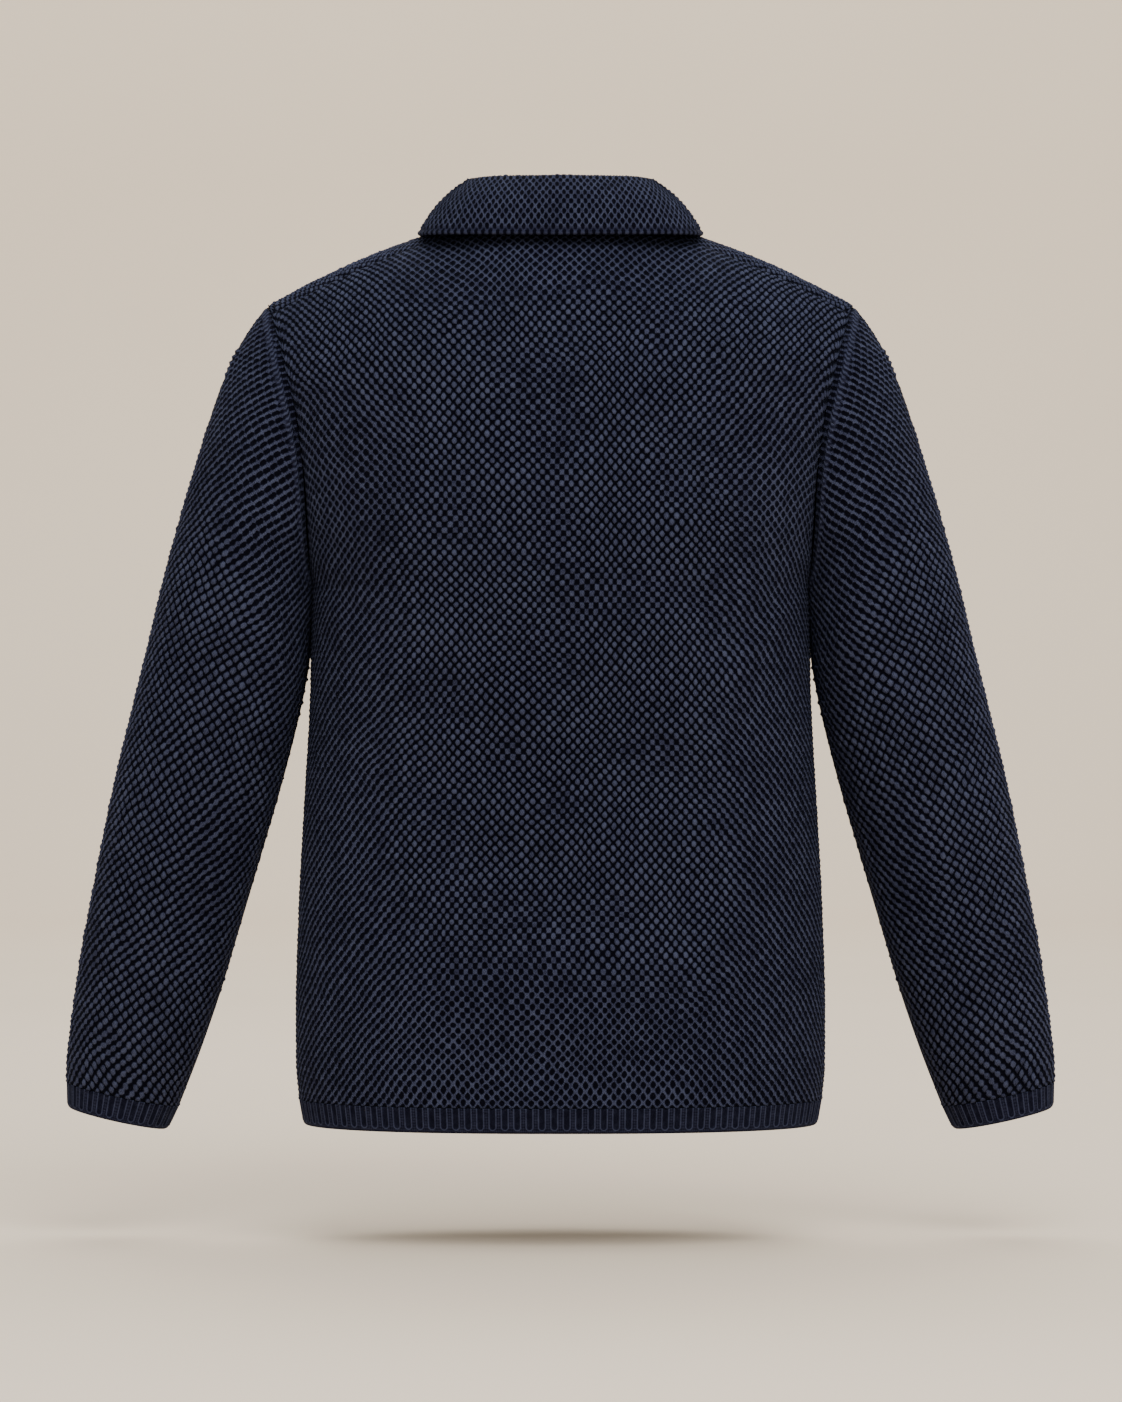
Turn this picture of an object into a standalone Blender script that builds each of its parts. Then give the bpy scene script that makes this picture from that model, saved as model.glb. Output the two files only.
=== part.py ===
"""Long-sleeved knitted cardigan with a turned-down collar, buttoned up and filled out as if worn.

Metres, +Z up. The back faces -Y and the front +Y, so the wearer's right is +X. The origin is the middle of
the neck at the height of the neck points. Every cloth piece is a closed wall: an outer grid, worked out
from the garment's sections, and an inner grid one wall thickness below it. Pieces stand a seam gap apart.

The body is one surface with two parameters. x is the distance from the middle, and the turn w says how far a
column has come down from the shoulder ridge: the first quarter turn rounds the ridge over, and past it the
column goes straight down.
"""
import math

import bmesh
import bpy
import numpy as np
from mathutils import Vector

# ---- driving sizes, metres ---------------------------------------------------------------------------
WALL = 0.0030
RIB_WALL = 0.0034
SEAM_GAP = 0.0003
RIB_REPEAT = 0.0093
CUFF_RIB_REPEAT = 0.0086
RIB_DEPTH = 0.0011
RIB_POINTS = 3                 # points to a repeat: two on the rib, one in the channel
EDGE_SINK = 0.0010             # how far a band's rounded lower edge lies below its rib tops
RIB_END = 0.0032               # height above the hem's lower edge at which its ribs end

HEM_Z = -0.681
HEM_BAND = 0.0190
UNDERARM_Z = -0.275
UNDERARM_X = 0.189
ARMHOLE_FLARE = 0.235          # how fast the section opens outwards above the underarm, m per m
SECTION_POWER = 2.4            # 2 is an ellipse, more is squarer
RIDGE_ROUND = 0.090            # height over which the shoulder rounds from its ridge to full depth
SEAM_BEHIND_RIDGE = 0.009      # height from the ridge down to the shoulder seam, on the back

NECK_HALF_WIDTH = 0.080
NECK_BACK_Z = -0.010
NECK_FRONT_Z = -0.064
NECK_FRONT_POWER = 0.8         # below 1 the front of the neck is nearer to a V
NECK_BACK_POWER = 0.9

BAND_HALF_WIDTH = 0.0165
BAND_OVERLAP = 0.0035          # how far the upper band reaches over its own front
BAND_LIFT = WALL + SEAM_GAP

COLLAR_WALL = 0.0032
COLLAR_FOLD_RADIUS = 0.0034    # of the middle of the cloth, over the fold
COLLAR_BOW = 0.0012            # how far the fall bows out between its fold and its edge
COLLAR_END_X = 0.004           # where each end of the collar meets the middle of the front
COLLAR_SEAT = 0.0008           # collar's lower edge above the neck edge

BUTTON_COUNT = 6
BUTTON_RADIUS = 0.0100
BUTTON_THICKNESS = 0.0034
BUTTON_TOP_Z = -0.094
BUTTON_BOTTOM_Z = -0.655
BUTTON_SEAT = 0.0006           # clear of the band, which curves under the flat button

LOWER_ROWS = 6                 # rows of faces from the hem band to the underarm
UPPER_ROWS = 13                # rows of faces from the underarm to the shoulder seam
NECK_STEPS = 6                 # columns from the middle to the neck point
SHOULDER_COLUMNS = (0.20, 0.40, 0.58, 0.73, 0.855, 0.94, 0.984, 1.0)   # share of the shoulder seam's length
FINE = 600                     # samples where a curve is measured before it is divided up

# ---- tables: one row for each section ----------------------------------------------------------------
SIDE_COLUMNS = ("z", "half_width")
SIDE = (
    (-0.681, 0.1950),
    (-0.661, 0.1985),
    (-0.634, 0.2008),
    (-0.596, 0.2010),
    (-0.520, 0.1990),
    (-0.444, 0.1950),
    (-0.406, 0.1927),
    (-0.349, 0.1900),
    (-0.275, 0.1890),
)

ARMHOLE_COLUMNS = ("z", "x")
ARMHOLE = (
    (-0.2750, 0.1890),
    (-0.2300, 0.1903),
    (-0.1900, 0.1925),
    (-0.1470, 0.1980),
    (-0.1230, 0.2030),
    (-0.0935, 0.2105),
    (-0.0680, 0.2188),
    (-0.0610, 0.2220),
)

RIDGE_COLUMNS = ("x", "z")
RIDGE = (
    (0.000, 0.0170),
    (0.030, 0.0155),
    (0.060, 0.0090),
    (0.080, 0.0010),
    (0.100, -0.0055),
    (0.120, -0.0131),
    (0.164, -0.0316),
    (0.201, -0.0497),
    (0.222, -0.0610),
    (0.240, -0.0720),
)

DEPTH_COLUMNS = ("z", "back", "front")
DEPTH = (
    (-0.681, 0.1130, 0.1160),
    (-0.610, 0.1130, 0.1180),
    (-0.520, 0.1070, 0.1180),
    (-0.430, 0.1050, 0.1180),
    (-0.320, 0.1120, 0.1210),
    (-0.220, 0.1170, 0.1200),
    (-0.130, 0.1090, 0.1050),
    (-0.060, 0.0920, 0.0850),
    (0.030, 0.0780, 0.0740),
)

# Sleeve sections: the ends of each section on the outline's outer and inner edge, its half depth front to
# back and how far its middle lies forward. The first row is the armhole.
SLEEVE_COLUMNS = ("outer_x", "outer_z", "inner_x", "inner_z", "half_depth", "forward")
SLEEVE = (
    (0.2220, -0.0610, 0.1890, -0.2750, 0.0620, 0.000),
    (0.2298, -0.0690, 0.1902, -0.2790, 0.0630, 0.000),
    (0.2394, -0.0828, 0.1904, -0.2860, 0.0640, 0.000),
    (0.2497, -0.1018, 0.1905, -0.2940, 0.0650, 0.000),
    (0.2612, -0.1300, 0.1906, -0.3030, 0.0655, 0.000),
    (0.2711, -0.1620, 0.1907, -0.3140, 0.0655, 0.000),
    (0.2840, -0.2050, 0.1912, -0.3300, 0.0650, 0.000),
    (0.3001, -0.2620, 0.1943, -0.3520, 0.0640, 0.001),
    (0.3117, -0.3100, 0.1997, -0.3770, 0.0620, 0.003),
    (0.3217, -0.3500, 0.2063, -0.4031, 0.0600, 0.005),
    (0.3358, -0.4061, 0.2172, -0.4422, 0.0575, 0.009),
    (0.3446, -0.4443, 0.2272, -0.4754, 0.0560, 0.012),
    (0.3560, -0.5006, 0.2435, -0.5297, 0.0535, 0.017),
    (0.3666, -0.5561, 0.2594, -0.5822, 0.0505, 0.022),
    (0.3743, -0.6066, 0.2756, -0.6288, 0.0455, 0.026),
    (0.3776, -0.6370, 0.2863, -0.6562, 0.0415, 0.029),
    (0.3779, -0.6522, 0.2919, -0.6704, 0.0390, 0.030),
)
CUFF = (
    (0.3779, -0.6522, 0.2919, -0.6704, 0.0390, 0.030),
    (0.3776, -0.6679, 0.2994, -0.6856, 0.0368, 0.031),
    (0.3768, -0.6714, 0.3014, -0.6884, 0.0362, 0.031),
)
SLEEVE_BLEND_SECTIONS = 6      # sections over which the armhole's outline turns into an ellipse

# The collar from the middle of the back (share 0) round to the middle of the front (share 1): height of its
# fold, how far the stand leans in, and where the fall's edge lies from the fold: outwards, down and back
# along the neck.
COLLAR_COLUMNS = ("share", "fold_z", "lean", "reach", "drop", "slide")
COLLAR = (
    (0.00, 0.0305, 0.0080, 0.0270, 0.0415, 0.000),
    (0.25, 0.0315, 0.0115, 0.0350, 0.0415, 0.000),
    (0.42, 0.0340, 0.0155, 0.0450, 0.0400, 0.000),
    (0.55, 0.0315, 0.0150, 0.0460, 0.0368, 0.000),
    (0.70, 0.0120, 0.0110, 0.0440, 0.0440, 0.000),
    (0.85, -0.0140, 0.0070, 0.0400, 0.0540, 0.006),
    (1.00, -0.0380, 0.0030, 0.0350, 0.0590, 0.032),
)

COLOURS = {
    "knit": (0.020, 0.024, 0.040, 1.0),
    "rib": (0.016, 0.019, 0.033, 1.0),
    "button": (0.010, 0.012, 0.020, 1.0),
}


# ---- small helpers -----------------------------------------------------------------------------------
def smooth(table, columns, wanted, at):
    """A table's column between its rows: a cubic through them whose slopes never overshoot."""
    rows = np.array(table)
    x = rows[:, 0]
    y = rows[:, columns.index(wanted)]
    order = np.argsort(x)
    x, y = x[order], y[order]
    step = np.diff(x)
    slope = np.diff(y) / step
    same_way = slope[:-1] * slope[1:] > 0
    safe = np.where(same_way, slope[:-1] + slope[1:], 1.0)
    middle = np.where(same_way, 2.0 * slope[:-1] * slope[1:] / safe, 0.0)
    tangent = np.concatenate([slope[:1], middle, slope[-1:]])
    at = np.clip(np.asarray(at, dtype=float), x[0], x[-1])
    cell = np.clip(np.searchsorted(x, at) - 1, 0, len(step) - 1)
    t = (at - x[cell]) / step[cell]
    start = y[cell] * (1 + 2 * t) * (1 - t) ** 2 + step[cell] * tangent[cell] * t * (1 - t) ** 2
    end = y[cell + 1] * t ** 2 * (3 - 2 * t) + step[cell] * tangent[cell + 1] * t ** 2 * (t - 1)
    return start + end


def unit(vectors):
    """Vectors of length one."""
    return vectors / np.linalg.norm(vectors, axis=-1, keepdims=True)


def by_arc_length(points, count):
    """A polyline's points again, count of them at equal distances along it."""
    lengths = np.linalg.norm(np.diff(points, axis=0), axis=1)
    along = np.concatenate([[0.0], np.cumsum(lengths)])
    wanted = np.linspace(0.0, along[-1], count)
    return np.stack([np.interp(wanted, along, points[:, axis]) for axis in range(points.shape[1])], axis=1)


def grid_faces(rows, columns, first, closed):
    """Quads of a grid of rows by columns points; closed joins the last column to the first."""
    across = columns if closed else columns - 1
    row, column = np.meshgrid(np.arange(rows - 1), np.arange(across), indexing="ij")
    following = (column + 1) % columns
    corners = [row * columns + column, row * columns + following,
               (row + 1) * columns + following, (row + 1) * columns + column]
    return np.stack(corners, axis=-1).reshape(-1, 4) + first


def closed_wall(name, outer, inner, colour, closed=False):
    """A wall between two grids of one width: both skins, the two long rims and, if open, the two ends."""
    outer_rows, columns = outer.shape[:2]
    inner_rows = inner.shape[0]
    inner_first = outer_rows * columns
    points = np.concatenate([outer.reshape(-1, 3), inner.reshape(-1, 3)])
    faces = grid_faces(outer_rows, columns, 0, closed).tolist()
    faces += grid_faces(inner_rows, columns, inner_first, closed).tolist()
    for outer_row, inner_row in ((0, 0), (outer_rows - 1, inner_rows - 1)):
        for column in range(columns if closed else columns - 1):
            following = (column + 1) % columns
            faces.append([outer_row * columns + column, outer_row * columns + following,
                          inner_first + inner_row * columns + following,
                          inner_first + inner_row * columns + column])
    if not closed:
        for column in (0, columns - 1):
            end = [row * columns + column for row in range(outer_rows)]
            back = [inner_first + row * columns + column for row in reversed(range(inner_rows))]
            if outer_rows == inner_rows:
                faces += [[end[k], end[k + 1], back[-2 - k], back[-1 - k]] for k in range(outer_rows - 1)]
            else:
                faces.append(end + back)
    return add_piece(name, points, faces, colour)


def add_piece(name, points, faces, colour):
    """A mesh object whose faces point outwards, with its own plain material."""
    mesh = bpy.data.meshes.new(name)
    mesh.from_pydata(points.tolist(), [], faces)
    work = bmesh.new()
    work.from_mesh(mesh)
    bmesh.ops.recalc_face_normals(work, faces=work.faces)
    work.to_mesh(mesh)
    work.free()
    piece = bpy.data.objects.new(name, mesh)
    PARTS.objects.link(piece)
    paint(piece, colour)
    mesh.shade_smooth()
    mesh.set_sharp_from_angle(angle=math.radians(50))
    return piece


def paint(piece, colour):
    """A Principled material of one colour, as dull as knitwear or with a button's soft gloss."""
    material = bpy.data.materials.new(piece.name)
    material.use_nodes = True
    shader = material.node_tree.nodes["Principled BSDF"]
    shader.inputs["Base Color"].default_value = COLOURS[colour]
    shader.inputs["Roughness"].default_value = 0.35 if colour == "button" else 0.9
    shader.inputs["Metallic"].default_value = 0.0
    piece.data.materials.append(material)


# ---- the body surface --------------------------------------------------------------------------------
def ridge_height(x):
    return smooth(RIDGE, RIDGE_COLUMNS, "z", np.abs(x))


def fall_from_ridge(w):
    """Height lost by a turn w: round over the ridge for the first quarter turn, then straight down."""
    turn = np.abs(w)
    quarter = math.pi / 2
    rounded = RIDGE_ROUND * (1.0 - np.cos(np.minimum(turn, quarter)))
    return rounded + RIDGE_ROUND * np.maximum(turn - quarter, 0.0)


def turn_at(x, z):
    """The turn w that brings the column at x down to height z."""
    drop = np.maximum(ridge_height(x) - z, 0.0) / RIDGE_ROUND
    return np.where(drop < 1.0, np.arccos(1.0 - np.minimum(drop, 1.0)), math.pi / 2 + drop - 1.0)


def section_width(z):
    """Half width of the whole section, which runs on past the cloth's edge at the armhole."""
    above = UNDERARM_X + ARMHOLE_FLARE * (np.asarray(z) - UNDERARM_Z)
    return np.where(np.asarray(z) > UNDERARM_Z, above, smooth(SIDE, SIDE_COLUMNS, "half_width", z))


def section_depth(z, front):
    back_depth = smooth(DEPTH, DEPTH_COLUMNS, "back", z)
    return np.where(front, smooth(DEPTH, DEPTH_COLUMNS, "front", z), back_depth)


def body_point(face, x, w):
    """Point of the body at distance x from the middle, a turn w down the face (-1 back, 1 front).

    The section is a superellipse of half width section_width and half depth section_depth, and the depth is
    scaled by the sine of the turn while the column rounds the ridge. A turn below zero is on the other face.
    """
    x, w = np.broadcast_arrays(np.asarray(x, dtype=float), np.asarray(w, dtype=float))
    z = ridge_height(x) - fall_from_ridge(w)
    direction = np.where(w < 0.0, -face, face)
    share = np.clip(np.abs(x) / section_width(z), 0.0, 1.0)
    profile = (1.0 - share ** SECTION_POWER) ** (1.0 / SECTION_POWER)
    depth = section_depth(z, direction > 0) * np.sin(np.minimum(np.abs(w), math.pi / 2)) * profile
    return np.stack([x, direction * depth, z], axis=-1)


def body_normal(face, x, w):
    """Outward normal: from the section's own equation below the ridge's round, from neighbours on it."""
    point = body_point(face, x, w)
    px, py, z = point[..., 0], point[..., 1], point[..., 2]
    small = 1e-5
    width = section_width(z)
    depth = section_depth(z, py > 0)
    width_slope = (section_width(z + small) - section_width(z - small)) / (2 * small)
    depth_slope = (section_depth(z + small, py > 0) - section_depth(z - small, py > 0)) / (2 * small)
    power = SECTION_POWER
    across = np.sign(px) * np.abs(px) ** (power - 1) / width ** power
    through = np.sign(py) * np.abs(py) ** (power - 1) / depth ** power
    upward = -np.abs(px) ** power * width_slope / width ** (power + 1)
    upward = upward - np.abs(py) ** power * depth_slope / depth ** (power + 1)
    straight = unit(np.stack([across, through, upward], axis=-1))
    along_x = body_point(face, px + small, w) - body_point(face, px - small, w)
    along_w = body_point(face, px, w + small) - body_point(face, px, w - small)
    rounded = np.cross(along_x, along_w) * face
    rounded = rounded / np.maximum(np.linalg.norm(rounded, axis=-1, keepdims=True), 1e-12)
    return np.where((np.abs(w) < math.pi / 2)[..., None], rounded, straight)


SEAM_TURN = math.acos(1.0 - SEAM_BEHIND_RIDGE / RIDGE_ROUND)


def armhole_x(w):
    """Distance from the middle of the armhole's edge, at the turn w of that edge."""
    z = np.linspace(ARMHOLE[0][0], ARMHOLE[-1][0], FINE)
    x = smooth(ARMHOLE, ARMHOLE_COLUMNS, "x", z)
    turns = turn_at(x, z)
    return np.interp(np.abs(w), turns[::-1], x[::-1])


def armhole_turns(face):
    """Turns of the armhole's edge from the underarm to the shoulder seam, at equal distances along it."""
    start = float(turn_at(UNDERARM_X, UNDERARM_Z))
    end = -SEAM_TURN if face > 0 else SEAM_TURN
    turns = np.linspace(start, end, FINE)
    edge = body_point(face, armhole_x(turns), turns)
    return by_arc_length(np.column_stack([edge, turns]), UPPER_ROWS + 1)[:, 3]


def row_fractions(face):
    """How far each row above the underarm has come towards the panel's top, as a share of the turn."""
    turns = armhole_turns(face)
    return (turns - turns[0]) / (turns[-1] - turns[0])


def lower_heights():
    """Heights of the rows below the underarm."""
    return np.linspace(HEM_Z + HEM_BAND, UNDERARM_Z, LOWER_ROWS + 1)[:-1]


def neck_turn(face, angle):
    """Turn of the neck edge at an angle from the middle (0) to the neck point (a quarter turn)."""
    middle_z = NECK_FRONT_Z if face > 0 else NECK_BACK_Z
    middle = float(turn_at(0.0, middle_z))
    end = -SEAM_TURN if face > 0 else SEAM_TURN
    power = NECK_FRONT_POWER if face > 0 else NECK_BACK_POWER
    return middle + (end - middle) * (1.0 - np.cos(angle)) ** power


def panel_columns(face, first_x):
    """Columns from first_x to the armhole: their share of the half width and their turn at the top edge."""
    tip = float(armhole_x(SEAM_TURN))
    angles = np.radians(np.linspace(0.0, 90.0, NECK_STEPS + 1))
    if first_x > 0.0:
        angles = np.concatenate([[math.asin(first_x / NECK_HALF_WIDTH)], angles[2:]])
    neck_share = NECK_HALF_WIDTH * np.sin(angles) / tip
    shoulder_end = -SEAM_TURN if face > 0 else SEAM_TURN
    shoulder_share = neck_share[-1] + (1.0 - neck_share[-1]) * np.array(SHOULDER_COLUMNS)
    shares = np.concatenate([neck_share, shoulder_share])
    tops = np.concatenate([neck_turn(face, angles), np.full(len(SHOULDER_COLUMNS), shoulder_end)])
    return shares, tops


def panel_grid(face, side, shares, tops, edge_x=None):
    """Points and normals of half a panel, rows from the hem band up to the shoulder seam and neck.

    Below the underarm the rows are level. Above it every column goes on from that level to its own top by the
    same shares of its turn, and the armhole's edge sets how far out each row reaches. edge_x, where given,
    keeps the first column at that distance from the middle all the way down.
    """
    edge_turns = armhole_turns(face)
    fractions = row_fractions(face)
    low_z = lower_heights()
    low_width = section_width(low_z)
    widths = np.concatenate([low_width, armhole_x(edge_turns)])[:, None]
    x = shares[None, :] * widths
    if edge_x is not None:
        pull = np.clip((1.0 - shares) / (1.0 - shares[0]), 0.0, 1.0) ** 3
        x = x + pull[None, :] * (edge_x - shares[0] * widths)
    low_turns = turn_at(x[:LOWER_ROWS], low_z[:, None])
    start = turn_at(x[LOWER_ROWS], UNDERARM_Z)
    high_turns = start + (tops - start) * fractions[:, None]
    turns = np.concatenate([low_turns, high_turns])
    points = body_point(face, x, turns)
    normals = body_normal(face, x, turns)
    mirror = np.array([side, 1.0, 1.0])
    return points * mirror, normals * mirror


def pull_in(grid, edges):
    """Move the named edges of a grid half a seam gap towards the inside of the piece."""
    moved = grid.copy()
    half = SEAM_GAP / 2
    if "bottom" in edges:
        moved[0] += half * unit(grid[1] - grid[0])
    if "top" in edges:
        moved[-1] += half * unit(grid[-2] - grid[-1])
    if "left" in edges:
        moved[:, 0] += half * unit(grid[:, 1] - grid[:, 0])
    if "right" in edges:
        moved[:, -1] += half * unit(grid[:, -2] - grid[:, -1])
    return moved


def make_back():
    """One panel from side seam to side seam."""
    shares, tops = panel_columns(-1, 0.0)
    right, right_normals = panel_grid(-1, 1.0, shares, tops)
    left, left_normals = panel_grid(-1, -1.0, shares, tops)
    points = np.concatenate([left[:, :0:-1], right], axis=1)
    normals = np.concatenate([left_normals[:, :0:-1], right_normals], axis=1)
    outer = pull_in(points, ("bottom", "top", "left", "right"))
    inner = pull_in(points - WALL * normals, ("bottom", "top", "left", "right"))
    closed_wall("back", outer, inner, "knit")


def make_front(name, side):
    """One front, from its band's edge to the side seam, over the shoulder to the seam behind the ridge."""
    shares, tops = panel_columns(1, BAND_HALF_WIDTH)
    points, normals = panel_grid(1, side, shares, tops, edge_x=BAND_HALF_WIDTH)
    outer = pull_in(points, ("bottom", "top", "left", "right"))
    inner = pull_in(points - WALL * normals, ("bottom", "top", "left", "right"))
    closed_wall(name, outer, inner, "knit")


# ---- hem bands and front bands -----------------------------------------------------------------------
def rib_height(index):
    """Depth below the rib tops of each point round a band: two points on a rib, one in the channel."""
    return np.where(index % RIB_POINTS == 1, RIB_DEPTH, 0.0)


def hem_outline(face, first_x, count):
    """Points (x, y) of the hem's section from first_x to the side seam, at equal distances."""
    angle = np.linspace(0.0, math.pi / 2, FINE)
    width = float(section_width(HEM_Z + HEM_BAND))
    share = np.sin(angle) ** (2.0 / SECTION_POWER)
    share = share[share * width >= first_x]
    share = np.concatenate([[first_x / width], share, [1.0]])
    depth = float(section_depth(HEM_Z + HEM_BAND, face > 0))
    bulge = (1.0 - share ** SECTION_POWER) ** (1 / SECTION_POWER)
    outline = np.stack([share * width, face * depth * bulge], 1)
    keep = np.concatenate([[True], np.linalg.norm(np.diff(outline, axis=0), axis=1) > 1e-7])
    return by_arc_length(outline[keep], count)


def make_hem(name, face, start_x, side):
    """A ribbed band: ribs in the outer points over a plain inside, and a rounded plain lower edge."""
    length = np.linalg.norm(np.diff(hem_outline(face, start_x, FINE), axis=0), axis=1).sum()
    repeats = round(length / RIB_REPEAT)
    outline = hem_outline(face, start_x, repeats * RIB_POINTS + 1)
    if side == 0:
        outline = np.concatenate([outline[:0:-1] * (-1.0, 1.0), outline])
    else:
        outline = outline * (side, 1.0)
    tangent = unit(np.gradient(outline, axis=0))
    outward = np.stack([tangent[:, 1], -tangent[:, 0]], axis=1)
    outward = outward * np.where((outward * outline).sum(axis=1, keepdims=True) < 0, -1.0, 1.0)
    ends = [index for index, at_seam in ((0, side == 0), (-1, True)) if at_seam]
    for index in ends:
        outward[index] = (np.sign(outline[index, 0]), 0.0)
    recess = rib_height(np.arange(len(outline)))
    recess[[0, -1]] = 0.0
    narrow = float(section_width(HEM_Z) - section_width(HEM_Z + HEM_BAND))
    top = HEM_Z + HEM_BAND - SEAM_GAP / 2
    heights = (top, HEM_Z + RIB_END, HEM_Z)
    depths = (recess, recess, np.full(len(outline), EDGE_SINK))
    inner_rows = ((top, RIB_WALL), (HEM_Z, RIB_WALL))
    outer = [hem_row(outline, outward, z, depth, narrow) for z, depth in zip(heights, depths)]
    inner = [hem_row(outline, outward, z, depth, narrow) for z, depth in inner_rows]
    edges = ("left", "right")
    closed_wall(name, pull_in(np.array(outer), edges), pull_in(np.array(inner), edges), "rib")


def hem_row(outline, outward, z, depth, narrow):
    """The hem's outline at height z, drawn in by the band's taper and sunk by depth."""
    taper = narrow * (HEM_Z + HEM_BAND - z) / HEM_BAND
    flat = outline + outward * (taper - np.asarray(depth))[..., None]
    return np.column_stack([flat, np.full(len(outline), z)])


def make_band(name, x_places, lift):
    """A front band: a strip of the front's own surface between two distances, moved out by lift."""
    x = np.array(x_places)
    angles = np.arcsin(np.abs(x) / NECK_HALF_WIDTH)
    tops = neck_turn(1, angles)
    heights = np.concatenate([[HEM_Z], lower_heights()])
    start = turn_at(x, UNDERARM_Z)
    low_turns = turn_at(x[None, :], heights[:, None])
    high_turns = start + (tops - start) * row_fractions(1)[:, None]
    turns = np.concatenate([low_turns, high_turns])
    places = np.broadcast_to(x, turns.shape)
    points = body_point(1, places, turns)
    normals = body_normal(1, places, turns)
    outer = pull_in(points + lift * normals, ("top",))
    inner = pull_in(points + (lift - WALL) * normals, ("top",))
    closed_wall(name, outer, inner, "rib")


# ---- sleeves and cuffs -------------------------------------------------------------------------------
def section_frame(row):
    """A sleeve section's middle, the half vector to its outer end, and the direction out of its plane."""
    values = dict(zip(SLEEVE_COLUMNS, row))
    outer = np.array([values["outer_x"], 0.0, values["outer_z"]])
    inner = np.array([values["inner_x"], 0.0, values["inner_z"]])
    half = (outer - inner) / 2
    onward = unit(np.array([half[2], 0.0, -half[0]]))
    middle = (outer + inner) / 2 + np.array([0.0, values["forward"], 0.0])
    return middle, half, onward, values["half_depth"]


def ring_normals(ring, onward):
    """Outward normals of a closed ring, within its own plane."""
    tangent = np.roll(ring, -1, axis=0) - np.roll(ring, 1, axis=0)
    normal = unit(np.cross(tangent, onward))
    centre = ring.mean(axis=0)
    if ((ring - centre) * normal).sum() < 0.0:
        normal = -normal
    return normal


def armhole_ring():
    """The armhole's edge as one loop: up the back to the shoulder seam, then over and down the front."""
    back_turns = armhole_turns(-1)
    front_turns = armhole_turns(1)
    back = body_point(-1, armhole_x(back_turns), back_turns)
    front = body_point(1, armhole_x(front_turns), front_turns)
    return np.concatenate([back, front[-2:0:-1]])


def sleeve_rings():
    """Rings from the armhole to the cuff: the armhole's outline turns into an ellipse over the first few."""
    loop = armhole_ring()
    middle, half, onward, depth = section_frame(SLEEVE[0])
    depth = np.abs(loop[:, 1]).max()
    along = (loop - middle) @ half / (half @ half)
    across = loop[:, 1] / depth
    out = (loop - middle) @ onward
    angle = np.arctan2(across, along)
    rings = [loop + np.array([SEAM_GAP, 0.0, 0.0])]
    for index, row in enumerate(SLEEVE[1:], start=1):
        middle, half, onward, depth = section_frame(row)
        blend = min(index / SLEEVE_BLEND_SECTIONS, 1.0)
        blend = blend * blend * (3.0 - 2.0 * blend)
        a = (1.0 - blend) * along + blend * np.cos(angle)
        b = (1.0 - blend) * across + blend * np.sin(angle)
        ring = middle + a[:, None] * half + (b * depth)[:, None] * np.array([0.0, 1.0, 0.0])
        rings.append(ring + ((1.0 - blend) * out)[:, None] * onward)
    return np.array(rings)


def tube_normals(rings):
    """Outward normals of a tube of rings; the two end rings keep theirs within their planes."""
    round_ = np.roll(rings, -1, axis=1) - np.roll(rings, 1, axis=1)
    down = np.gradient(rings, axis=0)
    normals = unit(np.cross(round_, down))
    centres = rings.mean(axis=1, keepdims=True)
    if ((rings - centres) * normals).sum() < 0.0:
        normals = -normals
    normals[0] = ring_normals(rings[0], section_frame(SLEEVE[0])[2])
    normals[-1] = ring_normals(rings[-1], section_frame(SLEEVE[-1])[2])
    return normals


def make_sleeve(name, side):
    """One sleeve, a tube open at the armhole and at the cuff."""
    rings = sleeve_rings()
    normals = tube_normals(rings)
    mirror = np.array([side, 1.0, 1.0])
    closed_wall(name, rings * mirror, (rings - WALL * normals) * mirror, "knit", closed=True)


def make_cuff(name, side):
    """A ribbed ring below the sleeve, its end slanting down towards the body."""
    middle, half, onward, depth = section_frame(CUFF[0])
    angle = np.linspace(0.0, 2 * math.pi, FINE)
    ellipse = np.column_stack([np.linalg.norm(half) * np.cos(angle), depth * np.sin(angle)])
    length = np.linalg.norm(np.diff(ellipse, axis=0), axis=1).sum()
    count = round(length / CUFF_RIB_REPEAT) * RIB_POINTS
    even = by_arc_length(np.column_stack([ellipse, angle]), count + 1)[:-1, 2]
    recess = rib_height(np.arange(count))
    plain = np.full(count, EDGE_SINK)
    outer = [cuff_ring(row, even, sink) for row, sink in zip(CUFF, (recess, recess, plain))]
    inner = [cuff_ring(row, even, RIB_WALL) for row in (CUFF[0], CUFF[2])]
    outer[0] = outer[0] + SEAM_GAP * onward
    inner[0] = inner[0] + SEAM_GAP * onward
    mirror = np.array([side, 1.0, 1.0])
    closed_wall(name, np.array(outer) * mirror, np.array(inner) * mirror, "rib", closed=True)


def cuff_ring(row, angle, sink):
    """An ellipse of the sleeve's section, sunk along its own normals."""
    middle, half, onward, depth = section_frame(row)
    forward = np.array([0.0, 1.0, 0.0])
    ring = middle + np.cos(angle)[:, None] * half + (depth * np.sin(angle))[:, None] * forward
    return ring - ring_normals(ring, onward) * np.broadcast_to(sink, angle.shape)[:, None]


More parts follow.
